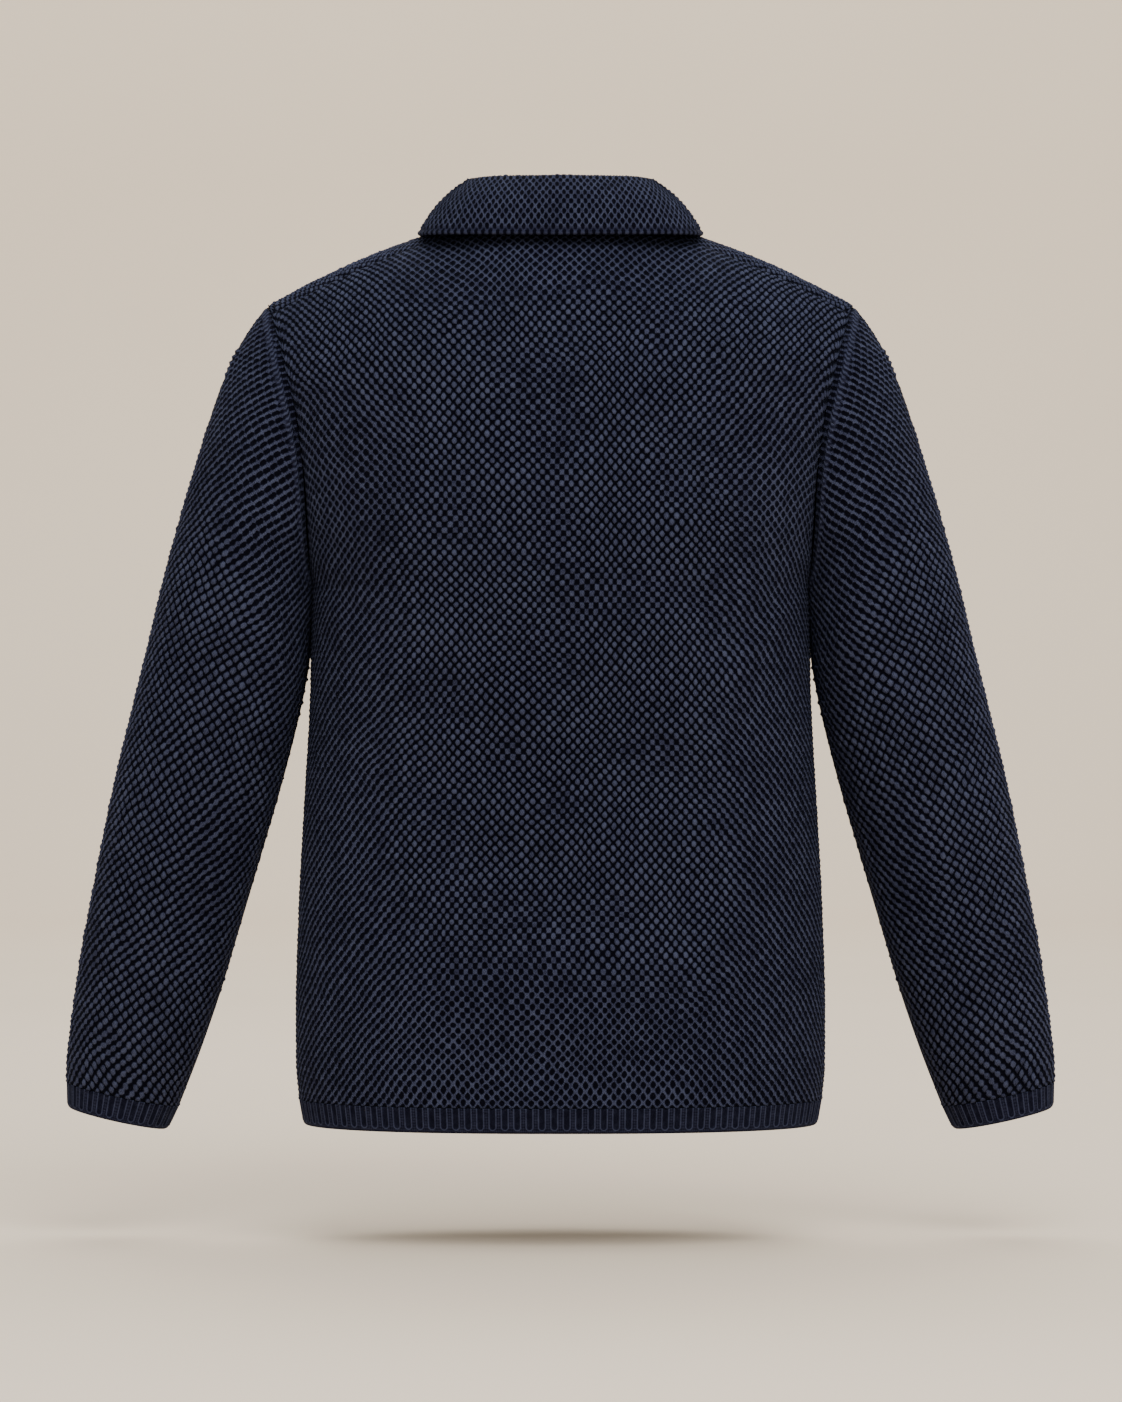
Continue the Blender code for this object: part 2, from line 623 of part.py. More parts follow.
# ---- collar ------------------------------------------------------------------------------------------
def neck_edge(side):
    """The neck edge from the middle of the back round one side to the collar's end, with its tangent."""
    angles = np.radians(np.linspace(0.0, 90.0, NECK_STEPS + 1))
    front = np.concatenate([angles[:1:-1][1:], np.arcsin([BAND_HALF_WIDTH / NECK_HALF_WIDTH,
                                                         COLLAR_END_X / NECK_HALF_WIDTH])])
    stations = [(-1, angle) for angle in angles] + [(1, angle) for angle in front]
    points, rising = [], []
    for face, angle in stations:
        x = NECK_HALF_WIDTH * math.sin(angle)
        turn = float(neck_turn(face, angle))
        here = body_point(face, x, turn)
        above = body_point(face, x, turn - 1e-4)
        points.append(here)
        rising.append(above - here)
    mirror = np.array([side, 1.0, 1.0])
    return np.array(points) * mirror, unit(np.array(rising)) * mirror


def collar_profile(stand, lean, reach, drop):
    """Middle of the collar's cloth in a standing plane: (outward, up) from the neck edge over the fold.

    The stand is a straight line leaning in, the fold an arc, and the fall a line that bows out a little.
    """
    r = COLLAR_FOLD_RADIUS
    centre = np.array([-lean + r, stand - r])
    edge = np.array([-lean + reach, stand - drop])
    slope = math.atan2(edge[0] - centre[0], centre[1] - edge[1])
    arc_angle = np.linspace(math.pi, slope, 5)
    arc = centre + r * np.column_stack([np.cos(arc_angle), np.sin(arc_angle)])
    up = np.linspace(0.0, 1.0, 4)[:-1, None]
    standing = arc[0] * up
    down = np.linspace(0.0, 1.0, 5)[1:, None]
    bow = COLLAR_BOW * np.sin(math.pi * down) * np.array([math.cos(slope), math.sin(slope)])
    falling = arc[-1] + (edge - arc[-1]) * down + bow
    return np.concatenate([standing, arc, falling])


def thick_profile(middle):
    """A closed outline half a wall either side of a polyline."""
    tangent = unit(np.gradient(middle, axis=0))
    normal = np.stack([tangent[:, 1], -tangent[:, 0]], axis=1) * COLLAR_WALL / 2
    return np.concatenate([middle - normal, (middle + normal)[::-1]])


def make_collar():
    """Stand and fall in one folded piece, swept round the neck edge from end to end."""
    right, right_rise = neck_edge(1.0)
    left, left_rise = neck_edge(-1.0)
    edge = np.concatenate([left[:0:-1], right])
    rise = np.concatenate([left_rise[:0:-1], right_rise])
    tangent = np.gradient(edge, axis=0) * (1.0, 1.0, 0.0)
    outward = unit(np.cross(tangent, (0.0, 0.0, 1.0)))
    inward_side = np.where((outward * (edge - edge.mean(axis=0))).sum(axis=1, keepdims=True) < 0, -1.0, 1.0)
    outward = outward * inward_side
    along = unit(tangent)
    distance = np.concatenate([[0.0], np.cumsum(np.linalg.norm(np.diff(right, axis=0), axis=1))])
    share = distance / distance[-1]
    share = np.concatenate([share[:0:-1], share])
    way_back = np.where(edge[:, :1] >= 0, -1.0, 1.0)
    base = edge + COLLAR_SEAT * rise - outward * COLLAR_WALL / 2
    rows = []
    for k, at in enumerate(share):
        value = {name: float(smooth(COLLAR, COLLAR_COLUMNS, name, at)) for name in COLLAR_COLUMNS[1:]}
        middle = collar_profile(value["fold_z"] - base[k, 2], value["lean"], value["reach"], value["drop"])
        outline = thick_profile(middle)
        down = np.concatenate([np.linspace(0.0, 1.0, 5)[1:], np.linspace(1.0, 0.0, 5)[:-1]])
        slide = np.zeros(len(outline))
        slide[len(middle) - 4:len(middle) + 4] = down * value["slide"]
        row = base[k] + outline[:, :1] * outward[k] + outline[:, 1:] * np.array([0.0, 0.0, 1.0])
        rows.append(row + slide[:, None] * along[k] * way_back[k])
    rows = np.array(rows)
    faces = grid_faces(rows.shape[0], rows.shape[1], 0, True).tolist()
    half = rows.shape[1] // 2
    for station in (0, rows.shape[0] - 1):
        first = station * rows.shape[1]
        for k in range(half - 1):
            faces.append([first + k, first + k + 1, first + 2 * half - 2 - k, first + 2 * half - 1 - k])
    add_piece("collar", rows.reshape(-1, 3), faces, "knit")


# ---- buttons -----------------------------------------------------------------------------------------
def make_button(name, z):
    """A turned disc with a rounded rim and a shallow well, seated on the upper band."""
    turn = float(turn_at(0.0, z))
    point = body_point(1, 0.0, turn)
    normal = Vector(body_normal(1, np.array(0.0), np.array(turn)))
    r, t = BUTTON_RADIUS, BUTTON_THICKNESS
    profile = ((0.0, 0.72 * t), (0.58 * r, 0.74 * t), (0.70 * r, t), (0.90 * r, t), (r, 0.66 * t),
               (0.94 * r, 0.16 * t), (0.80 * r, 0.0), (0.0, 0.0))
    mesh = bpy.data.meshes.new(name)
    mesh.from_pydata([(x, 0.0, h) for x, h in profile], [(k, k + 1) for k in range(len(profile) - 1)], [])
    button = bpy.data.objects.new(name, mesh)
    PARTS.objects.link(button)
    turned = button.modifiers.new("turned", "SCREW")
    turned.angle = 2 * math.pi
    turned.steps = 16
    turned.render_steps = 16
    turned.use_merge_vertices = True
    turned.merge_threshold = 0.00001
    turned.use_smooth_shade = True
    button.rotation_mode = "QUATERNION"
    button.rotation_quaternion = normal.to_track_quat("Z", "Y")
    button.location = Vector(point) + normal * (BAND_LIFT + BUTTON_SEAT)
    paint(button, "button")


# ---- the garment -------------------------------------------------------------------------------------
for old in list(bpy.data.objects):
    bpy.data.objects.remove(old, do_unlink=True)
PARTS = bpy.data.collections.new("cardigan")
bpy.context.scene.collection.children.link(PARTS)

make_back()
make_front("front_left", -1.0)
make_front("front_right", 1.0)
make_hem("hem_back", -1, 0.0, 0)
make_hem("hem_front_left", 1, BAND_HALF_WIDTH + SEAM_GAP, -1)
make_hem("hem_front_right", 1, BAND_HALF_WIDTH + SEAM_GAP, 1)
under_edge = BAND_HALF_WIDTH - SEAM_GAP
make_band("band_right", (-under_edge, -under_edge / 2, 0.0, under_edge / 2, under_edge), 0.0)
over_edge = BAND_HALF_WIDTH + BAND_OVERLAP
make_band("band_left", (-over_edge, -BAND_HALF_WIDTH, -under_edge / 2, 0.0, under_edge / 2, under_edge),
          BAND_LIFT)
make_sleeve("sleeve_left", -1.0)
make_sleeve("sleeve_right", 1.0)
make_cuff("cuff_left", -1.0)
make_cuff("cuff_right", 1.0)
make_collar()
for number, height in enumerate(np.linspace(BUTTON_TOP_Z, BUTTON_BOTTOM_Z, BUTTON_COUNT), start=1):
    make_button(f"button_{number}", float(height))
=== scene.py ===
# %% [markdown]
# # A knitted cardigan, seen from behind
#
# The garment is navy, knitted all over in a raised diamond stitch, with narrow ribbed bands and a
# turned-down collar. It stands filled out as if worn, with nobody in it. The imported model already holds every
# piece as a plain wall at its real size; this script gives those pieces their knitted surface.
#
# The stitches are about 7 mm wide and 8 mm high, so they are made as real relief. Each panel is unrolled into
# distances along its courses (u) and its wales (v), a grid is laid out a quarter of a stitch apart, and each
# grid point is pushed out by the height of the stitch at that place. The same two distances are the UV map,
# so the shader's yarn lies exactly on the stitches that the mesh already has.

# %% Load the frame
import math

import bpy
import numpy as np
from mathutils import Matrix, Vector


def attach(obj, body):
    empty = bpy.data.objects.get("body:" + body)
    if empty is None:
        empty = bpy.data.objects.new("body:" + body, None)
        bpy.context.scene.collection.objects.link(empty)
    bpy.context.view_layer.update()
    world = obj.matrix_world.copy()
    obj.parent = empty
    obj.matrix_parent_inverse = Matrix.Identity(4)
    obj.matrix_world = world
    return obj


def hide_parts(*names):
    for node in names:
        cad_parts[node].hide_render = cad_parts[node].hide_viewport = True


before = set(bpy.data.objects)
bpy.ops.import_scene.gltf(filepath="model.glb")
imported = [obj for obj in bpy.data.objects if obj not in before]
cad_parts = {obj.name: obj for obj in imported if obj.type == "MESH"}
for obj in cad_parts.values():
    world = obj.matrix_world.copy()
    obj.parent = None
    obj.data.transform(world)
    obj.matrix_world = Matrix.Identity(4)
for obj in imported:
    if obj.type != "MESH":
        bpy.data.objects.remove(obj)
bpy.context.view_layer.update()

# %% [markdown]
# ## Camera
#
# The photograph looks straight at the back from about chest height, with very little perspective. A long lens
# nearly four metres away gives that. The picture is taller than wide, so the sensor's height sets the lens.

# %% Camera
CAMERA_DISTANCE = 3.9
CAMERA_HEIGHT = -0.361  # the middle of the picture, below the neck
VIEW_HEIGHT = 1.0655  # metres that the picture's height covers at the garment's middle plane
SENSOR = 36.0  # millimetres

camera_data = bpy.data.cameras.new("camera")
camera_data.sensor_fit = "VERTICAL"
camera_data.sensor_width = SENSOR
camera_data.sensor_height = SENSOR
camera_data.lens = SENSOR * CAMERA_DISTANCE / VIEW_HEIGHT
camera = bpy.data.objects.new("camera", camera_data)
camera.location = (0.0004, -CAMERA_DISTANCE, CAMERA_HEIGHT)
camera.rotation_euler = (math.pi / 2, 0.0, 0.0)
bpy.context.scene.collection.objects.link(camera)
bpy.context.scene.camera = camera
print("lens", round(camera_data.lens, 1), "mm")

# %% [markdown]
# ## The cut of the body
#
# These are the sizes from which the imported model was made, so every knitted piece lies where its plain wall
# is. The outline is four short tables: the side, the armhole, the shoulder ridge and the depth of the level
# sections. Between their rows runs a curve that never overshoots.

# %% Walls and seams
WALL = 0.0030  # thickness of the knitted cloth
RIB_WALL = 0.0034  # and of the ribbed bands
SEAM_GAP = 0.0003  # between two pieces that are sewn together
HEM_Z = -0.681  # lower edge of the hem band
HEM_BAND = 0.0190  # height of the hem band
UNDERARM_X, UNDERARM_Z = 0.189, -0.275
BAND_HALF_WIDTH = 0.0165  # the front band, from the middle to its edge
print("cloth:", 1000 * WALL, "mm, rib:", 1000 * RIB_WALL, "mm")

# %% Tables of the body
SIDE_COLUMNS = ("z", "half_width")
SIDE = (
    (-0.681, 0.1950),
    (-0.661, 0.1985),
    (-0.634, 0.2008),
    (-0.596, 0.2010),
    (-0.520, 0.1990),
    (-0.444, 0.1950),
    (-0.406, 0.1927),
    (-0.349, 0.1900),
    (-0.275, 0.1890),
)
ARMHOLE_COLUMNS = ("z", "x")
ARMHOLE = (
    (-0.2750, 0.1890),
    (-0.2300, 0.1903),
    (-0.1900, 0.1925),
    (-0.1470, 0.1980),
    (-0.1230, 0.2030),
    (-0.0935, 0.2105),
    (-0.0680, 0.2188),
    (-0.0610, 0.2220),
)
RIDGE_COLUMNS = ("x", "z")
RIDGE = (
    (0.000, 0.0170),
    (0.030, 0.0155),
    (0.060, 0.0090),
    (0.080, 0.0010),
    (0.100, -0.0055),
    (0.120, -0.0131),
    (0.164, -0.0316),
    (0.201, -0.0497),
    (0.222, -0.0610),
    (0.240, -0.0720),
)
DEPTH_COLUMNS = ("z", "back", "front")
DEPTH = (
    (-0.681, 0.1130, 0.1160),
    (-0.610, 0.1130, 0.1180),
    (-0.520, 0.1070, 0.1180),
    (-0.430, 0.1050, 0.1180),
    (-0.320, 0.1120, 0.1210),
    (-0.220, 0.1170, 0.1200),
    (-0.130, 0.1090, 0.1050),
    (-0.060, 0.0920, 0.0850),
    (0.030, 0.0780, 0.0740),
)
print("rows:", len(SIDE), len(ARMHOLE), len(RIDGE), len(DEPTH))

# %% Helpers for tables and vectors
NET_SIZE = 64  # the noise repeats after this many squares of its net


def smooth(table, columns, wanted, at):
    """A table's column between its rows: a cubic through them whose slopes never overshoot.

    Each slope is the harmonic mean of the two neighbouring slopes, or level where those differ in sign.
    """
    rows = np.array(table)
    x = rows[:, 0]
    y = rows[:, columns.index(wanted)]
    order = np.argsort(x)
    x, y = x[order], y[order]
    step = np.diff(x)
    slope = np.diff(y) / step
    same_way = slope[:-1] * slope[1:] > 0
    safe = np.where(same_way, slope[:-1] + slope[1:], 1.0)
    middle = np.where(same_way, 2.0 * slope[:-1] * slope[1:] / safe, 0.0)
    tangent = np.concatenate([slope[:1], middle, slope[-1:]])
    at = np.clip(np.asarray(at, dtype=float), x[0], x[-1])
    cell = np.clip(np.searchsorted(x, at) - 1, 0, len(step) - 1)
    t = (at - x[cell]) / step[cell]
    start = y[cell] * (1 + 2 * t) * (1 - t) ** 2 + step[cell] * tangent[cell] * t * (1 - t) ** 2
    end = y[cell + 1] * t ** 2 * (3 - 2 * t) + step[cell] * tangent[cell + 1] * t ** 2 * (t - 1)
    return start + end


def unit(vectors):
    """Vectors of length one."""
    return vectors / np.maximum(np.linalg.norm(vectors, axis=-1, keepdims=True), 1e-12)


def ramp(value, low, high):
    """0 below low, 1 above high, and a smooth s-curve between them; low may be the larger of the two."""
    t = np.clip((value - low) / (high - low), 0.0, 1.0)
    return t * t * (3.0 - 2.0 * t)


def soft_noise(a, b, size, seed):
    """Smooth noise from 0 to 1 on two coordinates.

    It has random values on a square net of the given size, and s-curves between them.
    """
    values = np.random.default_rng(seed).random((NET_SIZE, NET_SIZE))
    a, b = np.asarray(a) / size, np.asarray(b) / size
    i, j = np.floor(a).astype(int), np.floor(b).astype(int)
    s, t = ramp(a - i, 0.0, 1.0), ramp(b - j, 0.0, 1.0)
    i0, i1, j0, j1 = i % NET_SIZE, (i + 1) % NET_SIZE, j % NET_SIZE, (j + 1) % NET_SIZE
    low = values[i0, j0] * (1 - s) + values[i1, j0] * s
    high = values[i0, j1] * (1 - s) + values[i1, j1] * s
    return low * (1 - t) + high * t


print("half width at the hem:", smooth(SIDE, SIDE_COLUMNS, "half_width", HEM_Z), "m")

# %% [markdown]
# ## The body surface
#
# The body is one surface with two parameters: x, the distance from the middle, and w, how far a column has
# turned down from the shoulder ridge. The first quarter turn rounds over the shoulder, and past it the column
# falls straight. Each level section is a superellipse, a little squarer than an ellipse, as a chest is.

# %% Heights and sections
ARMHOLE_FLARE = 0.235  # how fast the sections widen above the underarm
RIDGE_ROUND = 0.090  # radius of the round over the shoulder
SECTION_POWER = 2.4  # 2 would give ellipses


def ridge_height(x):
    """Height of the shoulder ridge over x."""
    return smooth(RIDGE, RIDGE_COLUMNS, "z", np.abs(x))


def fall_from_ridge(w):
    """Height lost by a turn w: R(1 - cos w) for the first quarter turn, then R for each further radian."""
    turn = np.abs(w)
    quarter = math.pi / 2
    return RIDGE_ROUND * (1.0 - np.cos(np.minimum(turn, quarter)) + np.maximum(turn - quarter, 0.0))


def turn_at(x, z):
    """The turn that brings the column at x down to height z."""
    drop = np.maximum(ridge_height(x) - z, 0.0) / RIDGE_ROUND
    return np.where(drop < 1.0, np.arccos(1.0 - np.minimum(drop, 1.0)), math.pi / 2 + drop - 1.0)


def section_width(z):
    """Half width of the level section at height z."""
    above = UNDERARM_X + ARMHOLE_FLARE * (np.asarray(z) - UNDERARM_Z)
    return np.where(np.asarray(z) > UNDERARM_Z, above, smooth(SIDE, SIDE_COLUMNS, "half_width", z))


def section_depth(z, front):
    """Half depth of the level section at height z, on the front or on the back."""
    return np.where(front, smooth(DEPTH, DEPTH_COLUMNS, "front", z), smooth(DEPTH, DEPTH_COLUMNS, "back", z))


print("half width of the chest:", section_width(UNDERARM_Z), "m")

# %% Points and normals of the body
SMALL = 1e-5  # step for slopes, in metres and in radians


def body_point(face, x, w):
    """Point of the body: y is the depth times (1 - (x / width)^p)^(1/p), times sin w over the ridge."""
    x, w = np.broadcast_arrays(np.asarray(x, dtype=float), np.asarray(w, dtype=float))
    z = ridge_height(x) - fall_from_ridge(w)
    direction = np.where(w < 0.0, -face, face)
    share = np.clip(np.abs(x) / section_width(z), 0.0, 1.0)
    profile = (1.0 - share ** SECTION_POWER) ** (1.0 / SECTION_POWER)
    depth = section_depth(z, direction > 0) * np.sin(np.minimum(np.abs(w), math.pi / 2)) * profile
    return np.stack([x, direction * depth, z], axis=-1)


def body_normal(face, x, w):
    """Outward normal: the gradient of the section's equation, and a cross product on the ridge's round."""
    x, w = np.broadcast_arrays(np.asarray(x, dtype=float), np.asarray(w, dtype=float))
    point = body_point(face, x, w)
    px, py, z = np.moveaxis(point, -1, 0)
    width = section_width(z)
    depth = section_depth(z, py > 0)
    width_slope = (section_width(z + SMALL) - section_width(z - SMALL)) / (2 * SMALL)
    depth_slope = (section_depth(z + SMALL, py > 0) - section_depth(z - SMALL, py > 0)) / (2 * SMALL)
    power = SECTION_POWER
    across = np.sign(px) * np.abs(px) ** (power - 1) / width ** power
    through = np.sign(py) * np.abs(py) ** (power - 1) / depth ** power
    upward = -np.abs(px) ** power * width_slope / width ** (power + 1)
    upward = upward - np.abs(py) ** power * depth_slope / depth ** (power + 1)
    straight = unit(np.stack([across, through, upward], axis=-1))
    along_x = body_point(face, x + SMALL, w) - body_point(face, x - SMALL, w)
    along_w = body_point(face, x, w + SMALL) - body_point(face, x, w - SMALL)
    rounded = unit(np.cross(along_x, along_w) * face)
    return np.where((np.abs(w) < math.pi / 2)[..., None], rounded, straight)


print("middle of the chest:", body_point(1, 0.0, turn_at(0.0, UNDERARM_Z)).round(4))

# %% Armhole, neck and places on a panel
SEAM_BEHIND_RIDGE = 0.009  # the shoulder seam lies this far below the ridge, on the back
SEAM_TURN = math.acos(1.0 - SEAM_BEHIND_RIDGE / RIDGE_ROUND)
UNDERARM_TURN = float(turn_at(UNDERARM_X, UNDERARM_Z))
NECK_HALF_WIDTH = 0.080
NECK_BACK_Z, NECK_BACK_POWER = -0.010, 0.9
NECK_FRONT_Z, NECK_FRONT_POWER = -0.064, 0.8
FINE = 600  # points of a curve that is then read at other places


def armhole_x(w):
    """Distance from the middle of the armhole's edge at its turn w."""
    z = np.linspace(ARMHOLE[0][0], ARMHOLE[-1][0], FINE)
    x = smooth(ARMHOLE, ARMHOLE_COLUMNS, "x", z)
    return np.interp(np.abs(w), turn_at(x, z)[::-1], x[::-1])


def neck_turn(face, angle):
    """Turn of the neck edge at an angle from the middle (0) to the neck point (a quarter turn)."""
    middle = float(turn_at(0.0, NECK_FRONT_Z if face > 0 else NECK_BACK_Z))
    end = -face * SEAM_TURN
    power = NECK_FRONT_POWER if face > 0 else NECK_BACK_POWER
    return middle + (end - middle) * (1.0 - np.cos(angle)) ** power


def body_place(face, across, up):
    """(x, w) of a place on a panel.

    across runs from minus to plus a quarter turn, side seam to side seam, and x is the half width times
    sin(across)^(2/p). up is 0 at the hem band, 1 at the underarm and 2 at the shoulder seam.
    """
    across, up = np.broadcast_arrays(np.asarray(across, dtype=float), np.asarray(up, dtype=float))
    share = np.abs(np.sin(across)) ** (2.0 / SECTION_POWER)
    side = np.sign(across)
    low_z = HEM_Z + HEM_BAND + (UNDERARM_Z - HEM_Z - HEM_BAND) * np.minimum(up, 1.0)
    low_x = share * section_width(low_z)
    start_x = share * UNDERARM_X
    start = turn_at(start_x, UNDERARM_Z)
    end = -face * SEAM_TURN
    rise = np.maximum(up - 1.0, 0.0)
    high_x = share * armhole_x(UNDERARM_TURN + (end - UNDERARM_TURN) * rise)
    high_w = start + (end - start) * rise
    low = up <= 1.0
    return side * np.where(low, low_x, high_x), np.where(low, turn_at(low_x, low_z), high_w)


print("seam turn", round(SEAM_TURN, 3), "rad; armhole at the seam", round(float(armhole_x(SEAM_TURN)), 4))

# %% [markdown]
# ## Unrolling a surface
#
# Knitted cloth has a stitch of one size everywhere, so the pattern must be laid out by distance along the
# cloth and not by position in space. For a surface with two parameters this takes two sums of short steps:
# the distance up each wale from the lower edge gives v, and the distance along each course gives u. Both are
# then read backwards, to find which place on the surface lies at a wanted u and v.

# %% Stitch size
STITCH_U = 0.0072  # one repeat of the diamond stitch along a course
STITCH_V = 0.0081  # and up a wale
CELLS = 4  # grid cells to a repeat
STEP_U = STITCH_U / CELLS
STEP_V = STITCH_V / CELLS
print("grid steps:", round(1000 * STEP_U, 3), "by", round(1000 * STEP_V, 3), "mm")

# %% Distances, and reading them backwards
def read_back(known, wanted, values):
    """Linear interpolation in every column at once: values where known, growing downwards, reaches wanted.

    Each column is shifted by its own large number, so that all of them make one growing list.
    """
    span = 4.0 * (np.abs(known).max() + 1.0)
    shift = np.arange(known.shape[1]) * span
    inside = np.clip(wanted, known[0], known[-1])
    found = np.interp((inside + shift).T.ravel(), (known + shift).T.ravel(), values.T.ravel())
    return found.reshape(known.shape[1], -1).T


def turned_away(directions, places):
    """Directions with those reversed that point back over the middle."""
    back = (directions * places).sum(axis=1, keepdims=True) < 0
    return directions * np.where(back, -1.0, 1.0)


def steps_along(points):
    """Running distance down the first axis of a grid of points."""
    step = np.linalg.norm(np.diff(points, axis=0), axis=-1)
    return np.concatenate([np.zeros((1,) + step.shape[1:]), np.cumsum(step, axis=0)])


def line_steps(line):
    """Running distance along one line of points."""
    return steps_along(line[:, None, :])[:, 0]


middle_of_back = body_point(-1, 0.0, np.linspace(turn_at(0.0, HEM_Z), SEAM_TURN, FINE))
print("length of the back:", line_steps(middle_of_back)[-1].round(3), "m")

# %% Unroll and look up
def unroll(place, across, up, top_v):
    """Tables that turn (u, v) back into the surface's own (across, up).

    place(across, up) gives points. u is 0 on the column where across is 0.
    """
    grid_up = np.broadcast_to(up[:, None], (len(up), len(across)))
    points = place(across[None, :], grid_up)
    v = steps_along(points)
    rows = int(top_v / STEP_V) + 3
    wanted = np.broadcast_to((np.arange(rows) * STEP_V)[:, None], (rows, len(across)))
    row_up = read_back(v, wanted, grid_up)
    row_points = place(np.broadcast_to(across[None, :], row_up.shape), row_up)
    u = steps_along(row_points.transpose(1, 0, 2)).T
    zero = np.array([np.interp(0.0, across, line) for line in u])
    return {"across": across, "v": v, "up": grid_up, "row_up": row_up, "u": u - zero[:, None]}


def look_up(tables, u, v):
    """The surface's (across, up) at any u and v: read in the rows just below and above v, then mixed."""
    row = v / STEP_V
    low = np.clip(np.floor(row).astype(int), 0, len(tables["u"]) - 2)
    mix = np.clip(row - low, 0.0, 1.0)
    span = 4.0 * (np.abs(tables["u"]).max() + 1.0)
    shift = np.arange(len(tables["u"])) * span
    known = (tables["u"] + shift[:, None]).ravel()
    across = np.broadcast_to(tables["across"], tables["u"].shape).ravel()
    found = []
    for line in (low, low + 1):
        inside = np.clip(u, tables["u"][line, 0], tables["u"][line, -1]) + shift[line]
        found.append((np.interp(inside, known, across), np.interp(inside, known, tables["row_up"].ravel())))
    return (found[0][0] * (1 - mix) + found[1][0] * mix, found[0][1] * (1 - mix) + found[1][1] * mix)


def uv_of(tables, across, up):
    """u and v of places given in the surface's own parameters, along one line of them."""
    column = np.interp(across, tables["across"], np.arange(len(tables["across"])))
    low = np.clip(np.floor(column).astype(int), 0, len(tables["across"]) - 2)
    mix = column - low

    def v_in(col):
        return np.array([np.interp(a, tables["up"][:, c], tables["v"][:, c]) for a, c in zip(up, col)])

    v = v_in(low) * (1 - mix) + v_in(low + 1) * mix
    row = np.clip(v / STEP_V, 0, len(tables["u"]) - 1.001)
    line = np.floor(row).astype(int)
    part = row - line

    def u_in(r):
        return tables["u"][r, low] * (1 - mix) + tables["u"][r, low + 1] * mix

    return u_in(line) * (1 - part) + u_in(line + 1) * part, v


print("rows of a table:", int(0.70 / STEP_V), "for 0.7 m of cloth")

# %% [markdown]
# ## Laying a grid inside a cut piece
#
# A cut panel is not a rectangle: courses run out into the side seam and the armhole, and wales into the
# shoulder and the neck. The grid of quarter stitches is laid over the whole rectangle, and every point that
# falls outside the cut is moved to the edge, along its course or its wale. Points that land together become
# one. The stitches then keep their places right up to a clean edge, as in cloth that was cut and sewn.

# %% Lay the grid
SNAP = 0.35  # a point this near the edge, in cells, is moved onto it
KEY_SCALE = 1e7  # steps of a metre in which two points are told apart
KEY_ROOM = 100_000_000  # room for v below u in one whole number


def lay_grid(first_u, last_u, last_v, left, right, top):
    """Clamped grid: index arrays, places (u, v) and which points lie clear inside.

    left and right give the edges of each course; top gives the upper edge over each u.
    """
    columns = np.arange(math.floor(first_u / STEP_U) - 1, math.ceil(last_u / STEP_U) + 2)
    rows = np.arange(0, math.ceil(last_v / STEP_V) + 2)
    u, v = np.meshgrid(columns * STEP_U, rows * STEP_V)
    low = left[np.minimum(rows, len(left) - 1)][:, None]
    high = right[np.minimum(rows, len(right) - 1)][:, None]
    inside = (u > low + SNAP * STEP_U) & (u < high - SNAP * STEP_U)
    u_in = np.where(inside, u, np.where(u <= low + SNAP * STEP_U, low, high))
    ceiling = top(u_in)
    under = v < ceiling - SNAP * STEP_V
    v_in = np.where(under, v, ceiling)
    v_in = np.maximum(v_in, SEAM_GAP / 2)
    return u_in, v_in, inside & under & (v > 0.0)


def grid_mesh(u, v, inside, seam_left=None, seam_right=None):
    """The merged vertex of each grid point, the corners of each cell and which cells have a corner inside.

    Where a piece closes on itself, the points where seam_right is true are also those at seam_left.
    """
    key_u = u.copy()
    if seam_right is not None:
        key_u = np.where(seam_right, seam_left, key_u)
    key = np.round(key_u * KEY_SCALE).astype(np.int64) * KEY_ROOM + np.round(v * KEY_SCALE).astype(np.int64)
    _, vertex = np.unique(key.ravel(), return_inverse=True)
    index = np.arange(u.size).reshape(u.shape)
    corners = np.stack([index[:-1, :-1], index[:-1, 1:], index[1:, 1:], index[1:, :-1]], axis=-1)
    some = inside.ravel()[corners].any(axis=-1)
    return vertex.ravel(), corners, some


def cell_triangles(corners, wanted):
    """Two triangles for each wanted cell; the diagonal alternates, so that each stitch is symmetrical."""
    row, column = np.nonzero(wanted)
    quad = corners[row, column]
    even = ((row + column) % 2 == 0)[:, None]
    first = np.where(even, quad[:, [0, 1, 2]], quad[:, [0, 1, 3]])
    second = np.where(even, quad[:, [0, 2, 3]], quad[:, [1, 2, 3]])
    return np.concatenate([first, second])


def clean(triangles, vertex):
    """Triangles with three different vertices."""
    a, b, c = vertex[triangles].T
    return triangles[(a != b) & (b != c) & (c != a)]


print("a stitch has", 2 * CELLS * CELLS, "triangles")

# %% Faces of the plain inner side
INSIDE_BLOCK = 4  # cells of the outer grid under one face of the plain inner side


